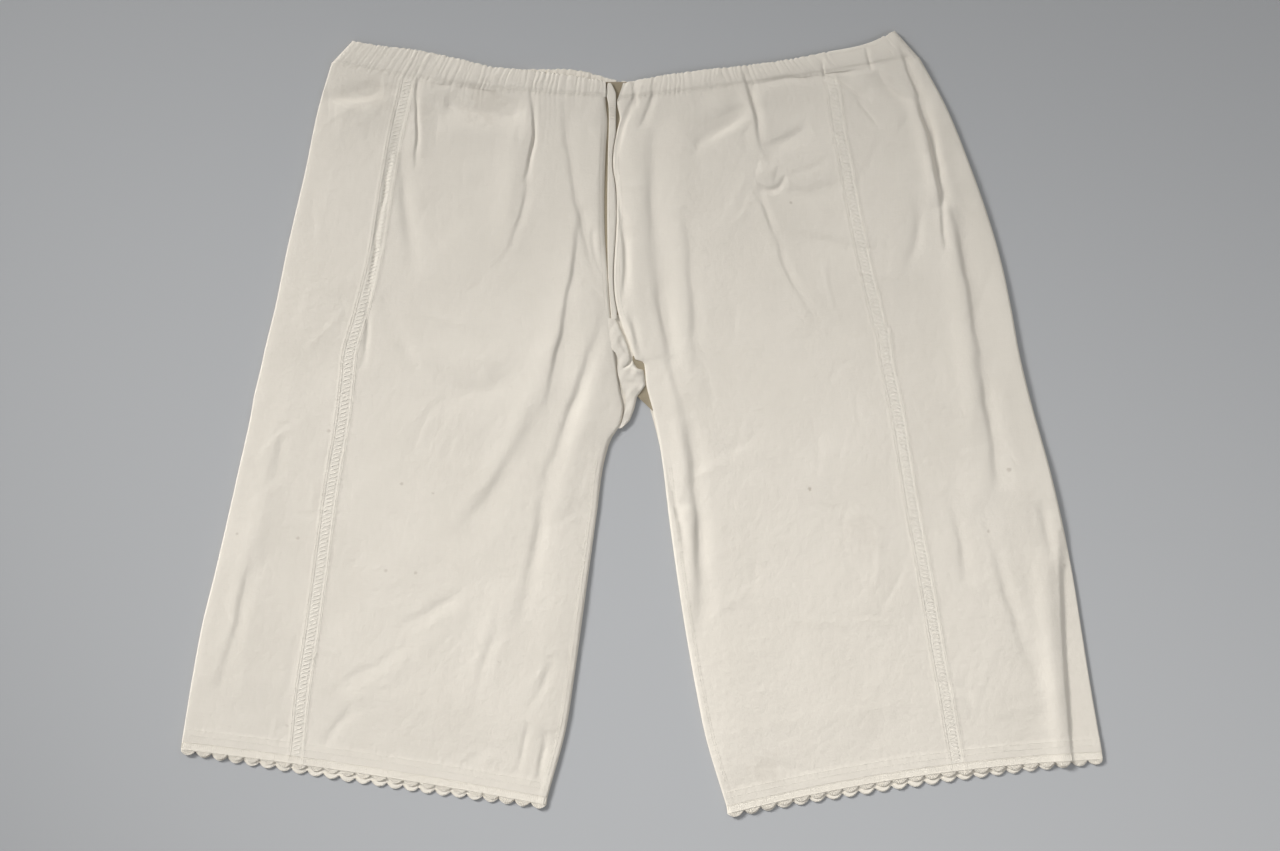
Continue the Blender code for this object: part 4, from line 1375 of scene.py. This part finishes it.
for x0, y0, x1, y1, bend, rise, left, right in GUSSET_FOLDS:
    _, aside, inside = along_line(x, y, x0, y0, x1, y1, bend)
    z = z + rise * inside**0.6 * bell(aside, np.where(aside > 0, left, right))
z = np.maximum(z + 0.15 * ripples(x, y, 4, 6, 6, 20), GUSSET_LOW)
outer = together(x, y, z)
gusset = cloth_shell(
    "crotch_gusset_cloth",
    outer,
    0 * outer + UP,
    outer[..., :2],
    stops_within(GUSSET_DOWN, 2),
    stops_within(GUSSET_ACROSS, 2),
    cotton,
    stride=2,
)
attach(gusset, "root")
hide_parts("crotch_gusset")

# The tip that turns under, in the cotton of painted shade: it reaches up under the small V beside the gusset
# and stands for the shade in it.
TIP_DOWN, TIP_ACROSS = 36, 28
TIP_X = (-8.5, 10.5)
TIP_TOP = 62.0
# The tip's lower edge runs down across it: from this height at this x, by this slope.
TIP_LOW, TIP_LOW_X, TIP_SLOPE = 26.0, -4.5, 0.95
x = np.linspace(*TIP_X, TIP_ACROSS)[None, :]
low = TIP_LOW - (x - TIP_LOW_X) * TIP_SLOPE
y = between((TIP_TOP, low), np.linspace(0, 1, TIP_DOWN)[:, None])
z = GUSSET_LOW + 0.5 * bell(y - low - 1.5, 1) + 0.1 * ripples(x + 0 * y, y, 2, 4, 6, 14)
outer = together(x, y, z)
turned_tip = cloth_shell(
    "gusset_turned_tip_in_painted_shade",
    outer,
    0 * outer + UP,
    outer[..., :2],
    stops_within(TIP_DOWN, 5),
    stops_within(TIP_ACROSS, 5),
    painted_shade_cotton,
    stride=1,
)
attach(turned_tip, "root")

# The sewing: small even backstitches in white thread along the casing, the braids, the
# felled inside legs, the hems, the facing and the flat run of the waist.
STITCH_PITCH = 2.4
STITCH_LENGTH = 1.7
STITCH_THICK = 0.2
BRAID_BESIDE = INSERTION_WIDTH / 2 + BRAID_LAP + 1.2
# The seams down a leg: what each lies beside, how far off, and its first and last levels.
LEG_SEAMS = (
    ("braid", -BRAID_BESIDE, 0.004, 0.996),
    ("braid", BRAID_BESIDE, 0.004, 0.996),
    ("inside leg", 5.2, 0.52, 0.97),
    ("inside leg", 7.4, 0.52, 0.97),
    ("inside leg", 2.4, 0.05, 0.31),
    ("inside leg", 5.0, 0.05, 0.31),
)
HEM_SEAMS = (6.5, 11.5)
CASING_SEAM_DOWN = 0.885
PLAIN_SEAMS_DOWN = (0.12, 0.78)
FACING_SEAMS = (0.2, 0.8)
TACK_TOP, TACKS = 288, 6
SEWING_PALE = (0.84, 0.80, 0.71, 1.0)
SEWING_SHADED = (0.74, 0.69, 0.60, 1.0)
sewing_thread = thread_material("sewing thread", SEWING_PALE, SEWING_SHADED, 0.0006, 0.5)


def stitch_run(length, start=1.0):
    """Where each stitch of a seam begins, is in the middle and ends, in millimetres along it."""
    first = np.arange(start, length - STITCH_PITCH, STITCH_PITCH)[:, None]
    return first + STITCH_LENGTH * np.array([0.0, 0.5, 1.0])


def stitches(points, outward=UP):
    """Stitches as thin tubes that dip into the cloth at both ends."""
    dip = np.array([-0.06, 0.08, -0.06])[:, None]
    outward = np.broadcast_to(outward, points.shape)
    return tubes(points + outward * dip, STITCH_THICK, 4, outward)


def down_leg(leg, beside, distance, first_level, last_level):
    """A seam down the leg, at a distance from its inner edge or from the middle of its braid."""
    height = leg_height(leg)
    level = first_level + stitch_run((last_level - first_level) * height) / height
    width = section_width(leg, level)
    start = leg_value(leg, "insertion", level) if beside == "braid" else 0.0
    return leg_surface(leg, level, start + distance / width, np.zeros(1))[0]


def along_hem(leg, up):
    """A seam along the hem of the front layer, up millimetres above the edging."""
    level = 1 - up / leg_height(leg)
    width = float(section_width(leg, level))
    run = stitch_run(width - 4)
    return leg_surface(leg, level + 0 * run, run / width, np.zeros(1))


def on_casing(leg, across, down):
    """Stitches on the front of the casing, at places across it and down it."""
    outer, outward, _ = casing_surface(leg, across, np.zeros(1), down)
    return stitches(outer, outward)


for side, leg in LEGS.items():
    parts = [stitches(down_leg(leg, *seam)) for seam in LEG_SEAMS]
    for up in HEM_SEAMS:
        parts.append(stitches(*along_hem(leg, up)))
    width = abs(leg["tip_x"] - leg["front_end_x"])
    parts.append(on_casing(leg, stitch_run(width - 6, 2.0) / width, CASING_SEAM_DOWN))
    leg_stitches = add_mesh(side + "_leg_stitching", *joined(parts), sewing_thread)
    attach(leg_stitches, "root")

y = FACING_TOP_Y - 14 - stitch_run(FACING_TOP_Y - FACING_FOOT_Y - 16)
parts = [stitches(facing_point(y, share)) for share in FACING_SEAMS]
tack_y = TACK_TOP - STITCH_PITCH * np.arange(TACKS)[:, None]
tacks = facing_point(tack_y, np.array([0.02, 0.5, 0.98])[None, :])
parts.append(tubes(tacks + 0.18 * UP, 0.34, 5, UP))
leg = LEGS["left"]
plain_from, plain_to = leg["plain_run"]
width = abs(leg["tip_x"] - leg["front_end_x"])
share = plain_from + stitch_run((plain_to - plain_from) * width, 0.5) / width
parts.extend(on_casing(leg, share, down) for down in PLAIN_SEAMS_DOWN)
down = 0.14 + stitch_run(13.0, 0.5) / 20
parts.extend(on_casing(leg, across, down) for across in (plain_from, plain_to))
waist_stitches = add_mesh("waist_and_facing_stitching", *joined(parts), sewing_thread)
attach(waist_stitches, "root")

# The room: a pale grey table top, a broad soft light high on the waist's left, a weaker
# one on the right, and a camera straight above the middle of the garment.
FLOOR_Z = -0.0003
FLOOR_HALF = 4
FLOOR_GREY = (0.46, 0.465, 0.47, 1.0)
ROOM_LIGHT = (0.95, 0.965, 0.99, 1.0)
ROOM_STRENGTH = 0.34
CAMERA_HEIGHT = 3.0
VIEW_WIDTH = 1.152
VIEW_CENTRE = (-0.0018, -0.00045)
SENSOR = 36.0

mesh = bpy.data.meshes.new("table_top")
corners = [(x * FLOOR_HALF, y * FLOOR_HALF, FLOOR_Z) for x, y in ((-1, -1), (1, -1), (1, 1), (-1, 1))]
mesh.from_pydata(corners, [], [(0, 1, 2, 3)])
table_top = bpy.data.objects.new("table_top", mesh)
bpy.context.scene.collection.objects.link(table_top)
mesh.materials.append(plain_material("pale table", {"Base Color": FLOOR_GREY, "Roughness": 0.8}))


def soft_light(name, place, aim, power, size, spread):
    """A square light at a place, turned to a point of the table, whose beam fades towards its spread."""
    lamp = bpy.data.lights.new(name, "AREA")
    lamp.energy = power
    lamp.size = size
    lamp.spread = math.radians(spread)
    made = bpy.data.objects.new(name, lamp)
    made.location = place
    beam = mathutils.Vector(aim) - mathutils.Vector(place)
    made.rotation_euler = beam.to_track_quat("-Z", "Y").to_euler()
    bpy.context.scene.collection.objects.link(made)


soft_light("waist_light", place=(-2.38, 1.55, 1.58), aim=(1.13, -1.25, 0), power=11.6, size=0.9, spread=40)
soft_light("right_light", place=(2.2, -0.4, 1.9), aim=(0, 0, 0), power=12, size=1.6, spread=180)
world = bpy.data.worlds.new("pale room")
world.use_nodes = True
world.node_tree.nodes["Background"].inputs["Color"].default_value = ROOM_LIGHT
world.node_tree.nodes["Background"].inputs["Strength"].default_value = ROOM_STRENGTH
bpy.context.scene.world = world
bpy.context.scene.view_settings.view_transform = "Standard"

lens = bpy.data.cameras.new("camera")
lens.sensor_width = SENSOR
lens.lens = SENSOR * CAMERA_HEIGHT / VIEW_WIDTH
camera = bpy.data.objects.new("camera", lens)
camera.location = (*VIEW_CENTRE, CAMERA_HEIGHT)
bpy.context.scene.collection.objects.link(camera)
bpy.context.scene.camera = camera
